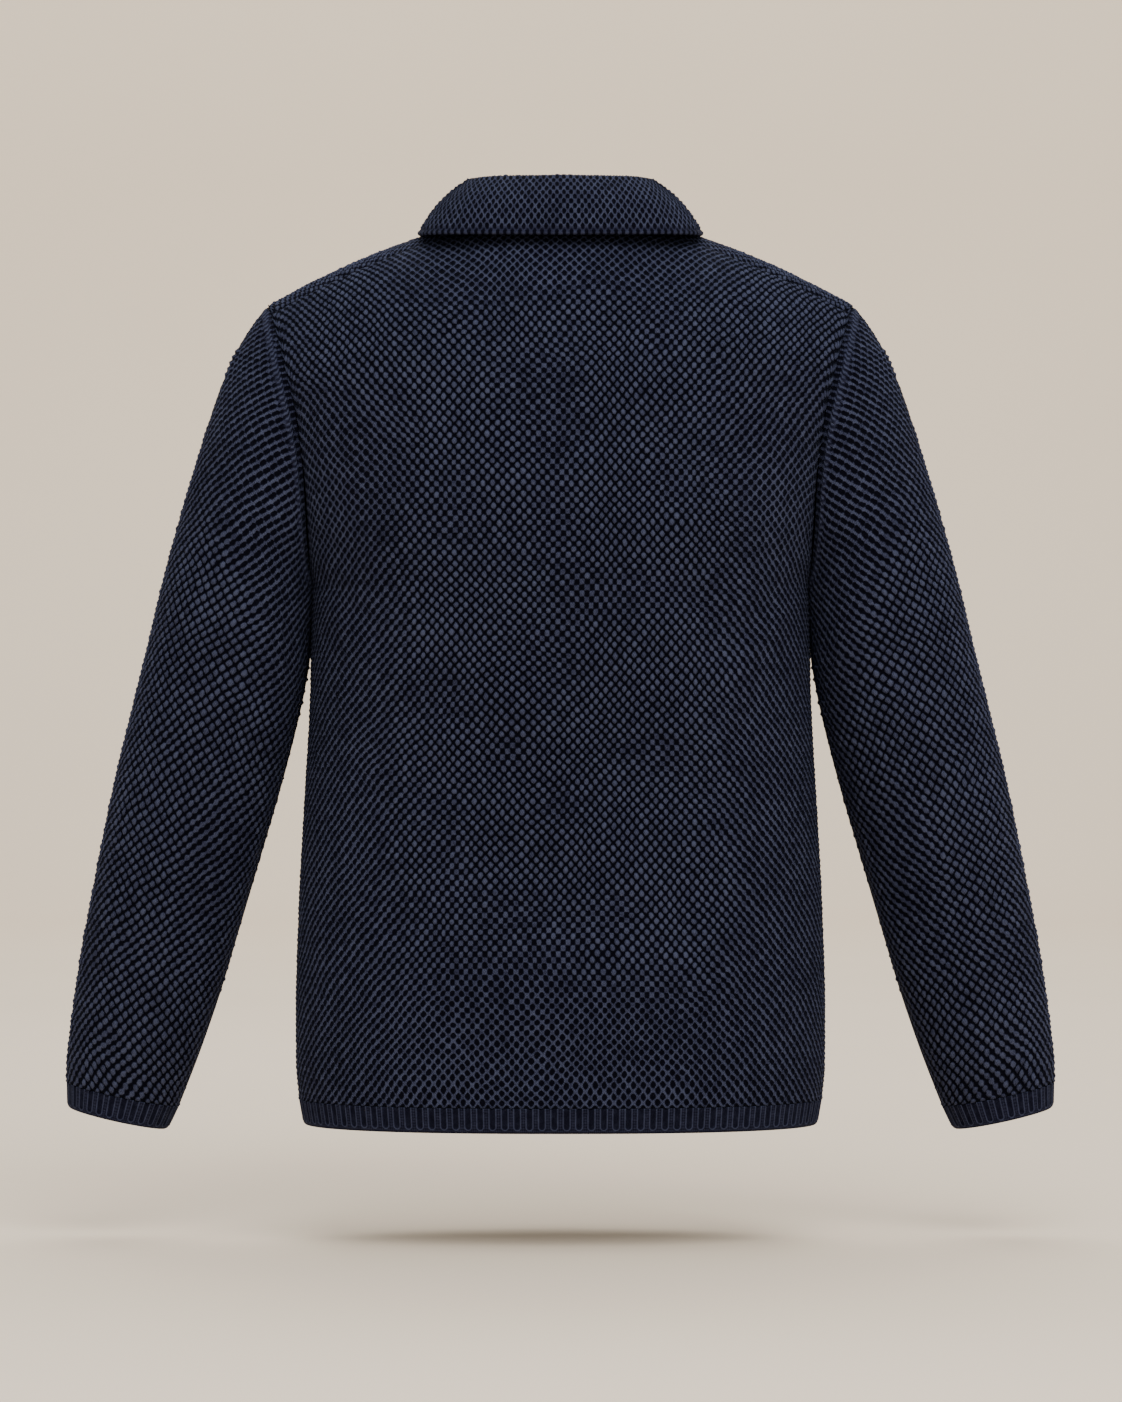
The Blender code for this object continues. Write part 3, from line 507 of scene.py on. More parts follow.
def inner_polygons(corners, some, inside, vertex):
    """Faces of the plain inner side: large blocks where the grid is whole, single cells near the edges.

    A block takes every point of a side that it shares with single cells, so the two sizes meet without a
    gap. That gives sixteen kinds of block, one for each choice of its four sides.
    """
    step = INSIDE_BLOCK
    row_blocks, column_blocks = corners.shape[0] // step, corners.shape[1] // step
    whole = inside[:-1, :-1] & inside[:-1, 1:] & inside[1:, 1:] & inside[1:, :-1]
    trimmed = whole[:row_blocks * step, :column_blocks * step]
    block = trimmed.reshape(row_blocks, step, column_blocks, step).all(axis=(1, 3))
    covered = np.zeros(some.shape, dtype=bool)
    covered[:row_blocks * step, :column_blocks * step] = np.repeat(np.repeat(block, step, 0), step, 1)
    fine = clean(cell_triangles(corners, some & ~covered), vertex)
    padded = np.pad(block, 1)
    around = [padded[:-2, 1:-1], padded[1:-1, 2:], padded[2:, 1:-1], padded[1:-1, :-2]]
    width = inside.shape[1]
    line = np.arange(step)
    start, end = 0 * line, 0 * line + step
    sides = [(start, line), (line, end), (end, step - line), (step - line, start)]
    groups = []
    for kind in range(16):
        coarse = [bool(kind >> side & 1) for side in range(4)]
        match = block.copy()
        for is_coarse, neighbour in zip(coarse, around):
            match &= neighbour == is_coarse
        row, column = np.nonzero(match)
        if len(row) == 0:
            continue
        picks = [(r[:1], c[:1]) if is_coarse else (r, c) for is_coarse, (r, c) in zip(coarse, sides)]
        rows = np.concatenate([r for r, c in picks])
        columns = np.concatenate([c for r, c in picks])
        groups.append((row[:, None] * step + rows) * width + column[:, None] * step + columns)
    return fine, groups


print("an inner face covers", INSIDE_BLOCK ** 2, "cells")

# %% Meshes and cloth
def set_mesh(name, points, polygons, uv=None, values=None):
    """A mesh object from points and groups of polygons, each group an array of vertex indices.

    uv holds one array of corner coordinates for each group, and values holds named numbers for each point.
    """
    mesh = bpy.data.meshes.new(name)
    loops = np.concatenate([group.ravel() for group in polygons])
    totals = np.concatenate([np.full(len(group), group.shape[1]) for group in polygons])
    mesh.vertices.add(len(points))
    mesh.vertices.foreach_set("co", points.astype(np.float32).ravel())
    mesh.loops.add(len(loops))
    mesh.loops.foreach_set("vertex_index", loops.astype(np.int32))
    mesh.polygons.add(len(totals))
    mesh.polygons.foreach_set("loop_start", (np.cumsum(totals) - totals).astype(np.int32))
    mesh.polygons.foreach_set("use_smooth", np.ones(len(totals), dtype=bool))
    if uv is not None:
        layer = mesh.uv_layers.new(name="stitch")
        corner_uv = np.concatenate([group.reshape(-1, 2) for group in uv])
        layer.data.foreach_set("uv", corner_uv.astype(np.float32).ravel())
    for key, numbers in (values or {}).items():
        attribute = mesh.attributes.new(key, "FLOAT", "POINT")
        attribute.data.foreach_set("value", numbers.astype(np.float32))
    mesh.update(calc_edges=True)
    mesh.validate()
    piece = bpy.data.objects.new(name, mesh)
    bpy.context.scene.collection.objects.link(piece)
    return piece


def grid_quads(rows, columns, closed=False):
    """Quads of a grid of points given row by row; a closed grid joins its last column to its first."""
    here = np.arange(columns if closed else columns - 1)
    following = (here + 1) % columns
    row = (np.arange(rows - 1) * columns)[:, None]
    quads = [row + here, row + following, row + columns + following, row + columns + here]
    return np.stack(quads, axis=-1).reshape(-1, 4)


def triangle_count(piece):
    """Number of triangles that a piece's polygons make."""
    totals = np.zeros(len(piece.data.polygons), dtype=np.int32)
    piece.data.polygons.foreach_get("loop_total", totals)
    return int((totals - 2).sum())



def border_edges(triangles, vertex):
    """Edges that only one triangle has, in the direction in which it has them."""
    edges = np.concatenate([triangles[:, [0, 1]], triangles[:, [1, 2]], triangles[:, [2, 0]]])
    ends = vertex[edges]
    code = ends.min(axis=1).astype(np.int64) * (vertex.max() + 1) + ends.max(axis=1)
    _, first, times = np.unique(code, return_index=True, return_counts=True)
    return edges[first[times == 1]]


def make_cloth(name, u, v, inside, outer, inner, values, seam=(None, None), flip=False):
    """A closed piece of cloth: a fine outer skin, a plain inner skin of larger faces and a rim between them.

    outer and inner hold the two places of each grid point, and values the numbers that the shader reads.
    """
    vertex, corners, some = grid_mesh(u, v, inside, *seam)
    skin = clean(cell_triangles(corners, some), vertex)
    fine, blocks = inner_polygons(corners, some, inside, vertex)
    border = border_edges(skin, vertex)
    count = vertex.max() + 1
    size = u.size
    rim = np.concatenate([border[:, [1, 0]], border + size], axis=1)
    groups = [skin, rim, fine[:, ::-1] + size] + [group[:, ::-1] + size for group in blocks]
    if flip:
        groups = [group[:, ::-1] for group in groups]
    place = np.concatenate([vertex, vertex + count])
    used = np.unique(np.concatenate([place[group].ravel() for group in groups]))
    points = np.zeros((2 * count, 3))
    points[vertex] = outer.reshape(-1, 3)
    points[vertex + count] = inner.reshape(-1, 3)
    renumber = np.zeros(2 * count, dtype=np.int64)
    renumber[used] = np.arange(len(used))
    flat_uv = np.stack([u.ravel() / STITCH_U, v.ravel() / STITCH_V], axis=1)
    both_uv = np.concatenate([flat_uv, flat_uv])
    point_values = {"outside": (used < count).astype(float)}
    for key, numbers in values.items():
        each = np.zeros(2 * count)
        each[vertex] = each[vertex + count] = numbers.ravel()
        point_values[key] = each[used]
    piece = set_mesh(name, points[used], [renumber[place[group]] for group in groups],
                     [both_uv[group] for group in groups], point_values)
    print(name, triangle_count(piece), "triangles")
    return piece


print("skins lie", 1000 * WALL, "mm apart")

# %% [markdown]
# ## The stitch
#
# Close up, the cloth has two looks on one lattice. Where it lies slack it shows raised oval bobbles with dark
# grooves between them; where it is drawn sideways the bobbles join into thin ridges, and only the corners
# between them stay dark, as pits in a net. One number, "net", leads from the first look to the second, and
# the dark share of the cloth stays the same on the way. A second number, "lean", says which diagonal stands
# out more: the rows of stitches seem to climb towards the middle of the back on either side.

# %% Stitch height
RELIEF = 0.00200  # height of a stitch over its groove in the mesh
LEAN = 0.30  # how much stronger the one diagonal can get
BOBBLE_EDGE = 0.400  # where a bobble ends, with the groove's middle at 0.5
RIDGE_EDGE = 0.145  # where a ridge of the net ends, with the pit's middle at 0.5
SLOPE = 0.17  # half the stretch over which a stitch falls to its groove
OVAL_WIDE, OVAL_TALL = 0.6, 0.415
LEAN_SLACK, LEAN_NET = 0.4, 0.6  # share of the lean in slack cloth, and what the net adds


def oval(p, q):
    """Oval distance squared: 0.6 (p + q)^2 + 0.415 (p - q)^2."""
    return OVAL_WIDE * (p + q) ** 2 + OVAL_TALL * (p - q) ** 2


def stitch_height(u, v, net, lean):
    """Height of the knit from 0 to 1.

    With U and V in stitches, p and q are U + V and U - V less their nearest whole numbers. A bobble's measure
    is the mean of the oval distance from its middle and the larger of |p| and |q|. A ridge's is the mean of
    0.5 - the oval distance from the pit and the smaller of them. The height falls where their mix, with
    LEAN * lean * (|q| - |p|) added, passes its limit.
    """
    big_u, big_v = u / STITCH_U, v / STITCH_V
    p = big_u + big_v - np.round(big_u + big_v)
    q = big_u - big_v - np.round(big_u - big_v)
    size_p, size_q = np.abs(p), np.abs(q)
    away_p, away_q = np.sign(p) * (0.5 - size_p), np.sign(q) * (0.5 - size_q)
    bobble = (np.sqrt(oval(p, q)) + np.maximum(size_p, size_q)) / 2.0
    ridge = (0.5 - np.sqrt(oval(away_p, away_q)) + np.minimum(size_p, size_q)) / 2.0
    tilt = LEAN * lean * (LEAN_SLACK + LEAN_NET * net)
    measure = bobble + (ridge - bobble) * net + tilt * (size_q - size_p)
    limit = BOBBLE_EDGE + (RIDGE_EDGE - BOBBLE_EDGE) * net
    return 1.0 - ramp(measure, limit - SLOPE, limit + SLOPE)


print("height of a bobble's middle:", stitch_height(0.0, 0.0, 0.0, 0.0))

# %% Chance and drift
STITCH_TABLE = 256  # the chances repeat after this many stitches
NUDGE = 1e-4  # keeps a stitch's border on one side when it is rounded
UNEVEN = 0.24  # how far chance moves one stitch towards the other look
DRIFT_WIDE, DRIFT_NARROW = 0.0050, 0.0017
DRIFT_SIZES = ((0.060, 0.017, 0), (0.055, 0.016, 2))  # of the noise along u and along v, and its seed
DRIFT_FADE = 0.020  # the drift grows over this distance from a sewn edge


def stitch_chance(u, v, seed):
    """One random number from 0 to 1 for each stitch, the same all over it."""
    table = np.random.default_rng(seed).random((STITCH_TABLE, STITCH_TABLE))
    big_u, big_v = u / STITCH_U, v / STITCH_V
    p = np.round(big_u + big_v + NUDGE).astype(int) % STITCH_TABLE
    q = np.round(big_u - big_v + NUDGE).astype(int) % STITCH_TABLE
    return table[p, q]


def knit_height(u, v, net, lean, seed, least=0.82, spread=0.36):
    """Stitch height times a chance for each stitch, from least to least + spread."""
    return stitch_height(u, v, net, lean) * (least + spread * stitch_chance(u, v, seed))


def uneven(share, u, v, seed):
    """A share from 0 to 1 with a little chance added for each stitch."""
    return np.clip(share + UNEVEN * (stitch_chance(u, v, seed) - 0.5), 0.0, 1.0)


def drift(u, v, near, seed):
    """Uneven shifts of the stitches, (du, dv) in metres: wide and narrow noise, fading out at sewn edges."""
    fade = ramp(near, 0.0, DRIFT_FADE)
    a, b = u + 3.0, v + 3.0
    shifts = []
    for wide_size, narrow_size, first_seed in DRIFT_SIZES:
        wide = DRIFT_WIDE * (soft_noise(a, b, wide_size, seed + first_seed) - 0.5)
        narrow = DRIFT_NARROW * (soft_noise(a, b, narrow_size, seed + first_seed + 1) - 0.5)
        shifts.append(fade * (wide + narrow))
    return shifts


print("stitches drift by up to", round(1000 * (DRIFT_WIDE + DRIFT_NARROW) / 2, 2), "mm")

# %% [markdown]
# ## Back and fronts
#
# Each panel reaches from the ribbed hem to the shoulder seam, which lies a little behind the ridge, so the
# fronts come over the shoulder. The courses are measured from the middle. A soft dip runs along the sewn
# edges, and a few shallow creases lead away from the underarm.

# %% Creases and the open knit
CREASES = (  # start (x, z), end (x, z), depth and half width, all in metres
    (0.183, -0.262, 0.120, -0.330, 0.0016, 0.010),
    (0.180, -0.300, 0.135, -0.385, 0.0012, 0.011),
    (0.186, -0.235, 0.150, -0.262, 0.0011, 0.008),
    (0.150, -0.420, 0.120, -0.520, 0.0007, 0.016),
    (0.060, -0.520, 0.085, -0.640, 0.0006, 0.018),
)


def crease_depth(x, z):
    """Soft troughs: each falls off as a bell across its line and eases out at both ends."""
    total = np.zeros_like(x)
    for x0, z0, x1, z1, depth, width in CREASES:
        run = np.array([x1 - x0, z1 - z0])
        length = np.hypot(*run)
        along = ((np.abs(x) - x0) * run[0] + (z - z0) * run[1]) / length ** 2
        off = ((np.abs(x) - x0) * run[1] - (z - z0) * run[0]) / length
        ends = ramp(along, -0.15, 0.25) * ramp(along, 1.15, 0.75)
        total = total - depth * ends * np.exp(-(off / width) ** 2)
    return total


def body_net(x, z):
    """Where the body's knit opens into a net: both sides, under the collar and above the hem."""
    warp = 0.030 * (soft_noise(x + 2.0, z + 2.0, 0.045, 11) - 0.5)
    sides = ramp(np.abs(x) + warp, 0.090, 0.165) * ramp(z + warp, -0.085, -0.170)
    collar = ramp(z + warp, -0.085, -0.030) * ramp(np.abs(x), 0.170, 0.100)
    low = ramp(z + 1.4 * warp, -0.500, -0.620)
    patches = 0.50 * ramp(soft_noise(x + 5.0, z + 5.0, 0.040, 12), 0.25, 0.95)
    return np.clip(np.maximum.reduce([sides, collar, low, patches]), 0.0, 1.0)


print("creases on each half of a panel:", len(CREASES))

# %% Unroll the body
AROUND = 721  # columns of an unrolled table
BODY_LENGTH = 0.80  # metres of cloth that its rows cover
SETTLE = 30  # rounds in which the neck edge's places settle
UP_TOP = 2.12  # how far past the shoulder seam the surface is worked out


def body_tables(face):
    """Unrolled tables of one face of the body, side seam to side seam."""
    across = np.linspace(-math.pi / 2, math.pi / 2, AROUND)
    up = np.concatenate([np.linspace(0.0, 1.0, 180), np.linspace(1.0, UP_TOP, 260)[1:]])
    return unroll(lambda a, g: body_point(face, *body_place(face, a, g)), across, up, BODY_LENGTH)


def top_edge(face, tables):
    """The neck edge and the shoulder seam on one side, as (u, v) from the middle to the armhole."""
    angle = np.linspace(0.0, math.pi / 2, 120)
    x = NECK_HALF_WIDTH * np.sin(angle)
    w = neck_turn(face, angle)
    end = -face * SEAM_TURN
    rise = np.ones_like(angle)
    for _ in range(SETTLE):
        share = x / armhole_x(UNDERARM_TURN + (end - UNDERARM_TURN) * rise)
        start = turn_at(share * UNDERARM_X, UNDERARM_Z)
        rise = (w - start) / (end - start)
    neck_across = np.arcsin(np.clip(share, 0.0, 1.0) ** (SECTION_POWER / 2))
    seam_across = np.linspace(neck_across[-1], math.pi / 2, 160)[1:]
    across = np.concatenate([neck_across, seam_across])
    up = np.concatenate([1.0 + rise, np.full(len(seam_across), 2.0)])
    return uv_of(tables, across, up)


back_tables = body_tables(-1)
front_tables = body_tables(1)
print("half the back's lowest course:", back_tables["u"][0, -1].round(4), "m")

# %% Panels
SEWN_DIP = 0.0009  # how far the cloth dips into a seam
EDGE_REACH = 0.05  # distances to an edge are kept up to this


def sewn_ramp(distance):
    """0 on a seam and 1 from 3.5 mm on: the relief fades out where cloth is sewn."""
    return ramp(distance, 0.0, 0.0035)


def body_lean(x, z):
    """Lean of the body's stitches: none in the middle, and turning over between chest and waist."""
    return np.sign(-x) * ramp(np.abs(x), 0.05, 0.16) * (1.6 * ramp(z, -0.15, -0.30) - 0.7)


def panel(name, face, tables, side):
    """One panel. side 0 is the whole back; -1 and 1 are the fronts, from the band's edge to the side."""
    top_u, top_v = top_edge(face, tables)
    rows = np.arange(len(tables["u"])) * STEP_V
    half = np.where(rows < top_v[-1], tables["u"][:, -1], top_u[-1]) - SEAM_GAP / 2
    if side == 0:
        left, right = -half, half
    else:
        first = np.full(len(rows), BAND_HALF_WIDTH + SEAM_GAP / 2)
        left, right = (first, half) if side > 0 else (-half, -first)

    def ceiling(at):
        return np.interp(np.abs(at), top_u, top_v) - SEAM_GAP / 2

    u, v, inside = lay_grid(left.min(), right.max(), top_v.max(), left, right, ceiling)
    to_side = np.minimum(np.interp(v, rows, right) - u, u - np.interp(v, rows, left))
    to_top = ceiling(u) - v
    near = np.maximum(np.minimum.reduce([to_side, to_top, v]), 0.0)
    du, dv = drift(u, v, near, 20 + 4 * (1 + int(face)) + side)
    across, up = look_up(tables, u + du, v + dv)
    x, w = body_place(face, across, up)
    points = body_point(face, x, w)
    normals = body_normal(face, x, w)
    z = points[..., 2]
    net = uneven(body_net(x, z), u, v, 15 + side)
    lean = body_lean(x, z)
    height = knit_height(u, v, net, lean, 16)
    sewn = np.minimum(to_side, to_top)
    lift = RELIEF * (height - 0.50) * sewn_ramp(sewn) - SEWN_DIP * (1.0 - ramp(sewn, 0.0005, 0.005))
    lift = lift + crease_depth(x, z)
    outer = points + lift[..., None] * normals
    inner = points - WALL * normals
    values = {"net": net, "lean": lean, "edge": np.clip(sewn, 0.0, EDGE_REACH)}
    return make_cloth(name, u, v, inside, outer, inner, values, flip=face > 0)


back = panel("knit_back", -1, back_tables, 0)
front_left = panel("knit_front_left", 1, front_tables, -1)
front_right = panel("knit_front_right", 1, front_tables, 1)

# %% [markdown]
# ## Sleeves
#
# A sleeve is a tube sewn into the armhole. Its upper sections keep the armhole's outline and turn into
# ellipses further down. The wales run from the cuff to the armhole, so the courses end in the armhole's edge,
# and the tube closes along a seam on its inner side, where the stitches do not meet.

# %% Sections of the sleeve
SLEEVE_COLUMNS = ("row", "outer_x", "outer_z", "inner_x", "inner_z", "half_depth", "forward")
SLEEVE = (
    (0, 0.2220, -0.0610, 0.1890, -0.2750, 0.0620, 0.000),
    (1, 0.2298, -0.0690, 0.1902, -0.2790, 0.0630, 0.000),
    (2, 0.2394, -0.0828, 0.1904, -0.2860, 0.0640, 0.000),
    (3, 0.2497, -0.1018, 0.1905, -0.2940, 0.0650, 0.000),
    (4, 0.2612, -0.1300, 0.1906, -0.3030, 0.0655, 0.000),
    (5, 0.2711, -0.1620, 0.1907, -0.3140, 0.0655, 0.000),
    (6, 0.2840, -0.2050, 0.1912, -0.3300, 0.0650, 0.000),
    (7, 0.3001, -0.2620, 0.1943, -0.3520, 0.0640, 0.001),
    (8, 0.3117, -0.3100, 0.1997, -0.3770, 0.0620, 0.003),
    (9, 0.3217, -0.3500, 0.2063, -0.4031, 0.0600, 0.005),
    (10, 0.3358, -0.4061, 0.2172, -0.4422, 0.0575, 0.009),
    (11, 0.3446, -0.4443, 0.2272, -0.4754, 0.0560, 0.012),
    (12, 0.3560, -0.5006, 0.2435, -0.5297, 0.0535, 0.017),
    (13, 0.3666, -0.5561, 0.2594, -0.5822, 0.0505, 0.022),
    (14, 0.3743, -0.6066, 0.2756, -0.6288, 0.0455, 0.026),
    (15, 0.3776, -0.6370, 0.2863, -0.6562, 0.0415, 0.029),
    (16, 0.3779, -0.6522, 0.2919, -0.6704, 0.0390, 0.030),
)
SLEEVE_BLEND_SECTIONS = 6  # from the armhole's outline to an ellipse
CUFF_SECTION = float(SLEEVE[-1][0])


def section_at(row, table=SLEEVE):
    """Middle, half vector to the outer end, direction out of the plane and half depth of sleeve sections."""
    value = {name: smooth(table, SLEEVE_COLUMNS, name, row) for name in SLEEVE_COLUMNS[1:]}
    zero = np.zeros_like(value["outer_x"])
    outer = np.stack([value["outer_x"], zero, value["outer_z"]], axis=-1)
    inner = np.stack([value["inner_x"], zero, value["inner_z"]], axis=-1)
    half = (outer - inner) / 2
    onward = unit(np.stack([half[..., 2], zero, -half[..., 0]], axis=-1))
    middle = (outer + inner) / 2 + np.stack([zero, value["forward"], zero], axis=-1)
    return middle, half, onward, value["half_depth"]


print("sleeve sections:", len(SLEEVE))

# %% Points of the sleeve
STEP_ROUND = 1e-3  # radians, and sections
PAST_ARMHOLE = np.array([0.0113, 0.0, -0.0040])  # a step for each section above the first


def armhole_loop(count):
    """The armhole's edge as angle, along, across and out of its plane, evenly spaced from -pi to pi."""
    turns = np.linspace(UNDERARM_TURN, 0.0, FINE)
    back_edge = body_point(-1, armhole_x(turns), turns)
    front_edge = body_point(1, armhole_x(turns), turns)
    loop = np.concatenate([back_edge[:-1], front_edge[::-1]])
    middle, half, onward, _ = section_at(np.array(0.0))
    depth = np.abs(loop[:, 1]).max()
    along = (loop - middle) @ half / (half @ half)
    across = loop[:, 1] / depth
    out = (loop - middle) @ onward
    angle = np.unwrap(np.arctan2(across, along))
    if angle[0] > angle[-1]:
        angle, along, across, out = angle[::-1], along[::-1], across[::-1], out[::-1]
    wanted = np.linspace(-math.pi, math.pi, count)
    return wanted, [np.interp(wanted, angle, line) for line in (along, across, out)], depth


LOOP_ANGLE, LOOP, LOOP_DEPTH = armhole_loop(AROUND)


def sleeve_point(angle, row):
    """Point of the sleeve at an angle round the section (0 is the outer edge) and at a section number.

    The section's own axes are mixed: the armhole's outline at row 0 and cos, sin from the sixth row on. Rows
    below zero run straight on past the armhole.
    """
    angle, row = np.broadcast_arrays(np.asarray(angle, dtype=float), np.asarray(row, dtype=float))
    at = np.maximum(row, 0.0)
    middle, half, onward, depth = section_at(at)
    blend = ramp(at, 0.0, SLEEVE_BLEND_SECTIONS)
    along, across, out = (np.interp(angle, LOOP_ANGLE, line) for line in LOOP)
    a = (1.0 - blend) * along + blend * np.cos(angle)
    b = (1.0 - blend) * across + blend * np.sin(angle)
    wide = depth + (LOOP_DEPTH - depth) * ramp(at, 1.0, 0.0)
    point = middle + a[..., None] * half + ((1.0 - blend) * out)[..., None] * onward
    point[..., 1] += b * wide
    point[..., 0] += SEAM_GAP * ramp(at, 1.0, 0.0)
    return point + np.minimum(row, 0.0)[..., None] * PAST_ARMHOLE


def sleeve_normal(angle, row, points):
    """Outward normals: the cross product of a step round the sleeve and a step down it."""
    ahead, behind = np.minimum(angle + STEP_ROUND, math.pi), np.maximum(angle - STEP_ROUND, -math.pi)
    way_round = sleeve_point(ahead, row) - sleeve_point(behind, row)
    down = sleeve_point(angle, row + STEP_ROUND) - points
    normals = unit(np.cross(way_round, down))
    return normals * np.sign(((points - section_at(row)[0]) * normals).sum())


print("outer edge at the cuff:", sleeve_point(0.0, CUFF_SECTION).round(4))

# %% Unroll and cut the sleeve
SLEEVE_SCALE = 0.90  # the sleeve's stitches are larger, so its distances count for less
SLEEVE_LENGTH = 0.66  # metres of cloth that its rows cover
PAST_TOP = 1.6  # sections above the first that are worked out
HALF_ROUND = np.linspace(0.0, math.pi, 361)


def sleeve_tables():
    """Unrolled tables of the sleeve, from the cuff up."""
    angle = np.linspace(-math.pi, math.pi, AROUND)
    up = np.linspace(0.0, CUFF_SECTION + PAST_TOP, 560)
    return unroll(lambda a, g: SLEEVE_SCALE * sleeve_point(a, CUFF_SECTION - g), angle, up, SLEEVE_LENGTH)


def sleeve_cut(tables, side):
    """The armhole's edge on one side of the sleeve as (u, v), from the outer edge round to the underarm."""
    u, v = uv_of(tables, HALF_ROUND * side, np.full(len(HALF_ROUND), CUFF_SECTION))
    v = np.minimum.accumulate(v)
    u = np.maximum.accumulate(u * side)
    steep = np.abs(np.gradient(v)) > np.abs(np.gradient(u))
    first, last = np.nonzero(steep)[0][[0, -1]]
    return u, v, first, last


def sleeve_edges(tables, side):
    """Edge of every course on one side, and the function that gives the upper edge over u."""
    u, v, first, last = sleeve_cut(tables, side)
    rows = np.arange(len(tables["u"])) * STEP_V
    seam = np.abs(tables["u"][:, -1 if side > 0 else 0])
    edge = np.where(rows <= v[-1], seam, u[-1])
    on_cut = np.interp(rows, v[::-1], u[::-1])
    edge = np.where(rows > v[last], on_cut, edge)
    edge = np.where(rows > v[first], u[first], edge)

    def ceiling(at):
        flat = (at <= u[first] + 1e-9) | (at >= u[last] - 1e-9)
        return np.where(flat, np.interp(at, u, v) - SEAM_GAP, np.inf)

    return edge, ceiling, v[-1]


tables_of_sleeve = sleeve_tables()
print("half the sleeve's width:", sleeve_cut(tables_of_sleeve, 1)[0][-1].round(3), "m")

# %% Creases and the open knit of the sleeve
SLEEVE_CREASES = (  # v of the middle, angle, half length (rad), depth, half width: soft bends
    (0.300, -1.9, 0.8, 0.0012, 0.012),
    (0.255, -2.3, 0.7, 0.0010, 0.010),
    (0.385, -2.4, 0.7, 0.0014, 0.011),
    (0.330, 2.0, 0.8, 0.0014, 0.012),
    (0.275, 2.4, 0.7, 0.0011, 0.010),
    (0.070, -1.4, 0.9, 0.0008, 0.010),
    (0.050, 1.6, 0.8, 0.0008, 0.010),
    (0.375, -3.1, 0.9, -0.0052, 0.040),      # these two swell the sleeve towards the body
    (0.375, 3.1, 0.9, -0.0052, 0.040),
)


def sleeve_crease(angle, v):
    """Soft troughs across the sleeve: each is a bell up the sleeve times a ramp round it."""
    total = np.zeros_like(v)
    for middle_v, middle_angle, reach, depth, width in SLEEVE_CREASES:
        off = v - middle_v - 0.02 * (angle - middle_angle)
        beside = ramp(np.abs(angle - middle_angle), reach, 0.2 * reach)
        total = total - depth * beside * np.exp(-(off / width) ** 2)
    return total


def sleeve_net(angle, v, reach):
    """Where the sleeve's knit opens: round the cap, along the outer edge, and in a patch near the cuff."""
    warp = 0.5 * (soft_noise(angle * 0.06 + 4.0, v + 4.0, 0.05, 31) - 0.5)
    cap = ramp(reach + 0.03 * warp, 0.150, 0.060)
    outer = 0.55 * ramp(np.abs(angle) + warp, 1.00, 0.40)
    patch = ramp(np.abs(np.abs(angle) - 2.2) + 0.6 * warp, 0.70, 0.20)
    patch = 0.6 * patch * ramp(np.abs(v - 0.17), 0.10, 0.02)
    under = 0.8 * ramp(np.abs(angle) + 0.4 * warp, 2.4, 2.9)
    other = 0.45 * ramp(soft_noise(angle * 0.06 + 7.0, v + 7.0, 0.035, 33), 0.35, 0.95)
    return np.clip(np.maximum.reduce([cap, outer, patch, under, other]), 0.0, 1.0)


def sleeve_lean(angle):
    """Lean of the sleeve's stitches: opposite on front and back, none on the outer edge and at the seam."""
    return np.where(angle < 0, -1.0, 1.0) * ramp(np.abs(angle), 0.05, 0.4) * ramp(np.abs(angle), 3.1, 2.5)


print("sleeve creases:", len(SLEEVE_CREASES))

# %% Two sleeves
CHAIN_WIDTH = 0.0072  # of the linked seam round the armhole


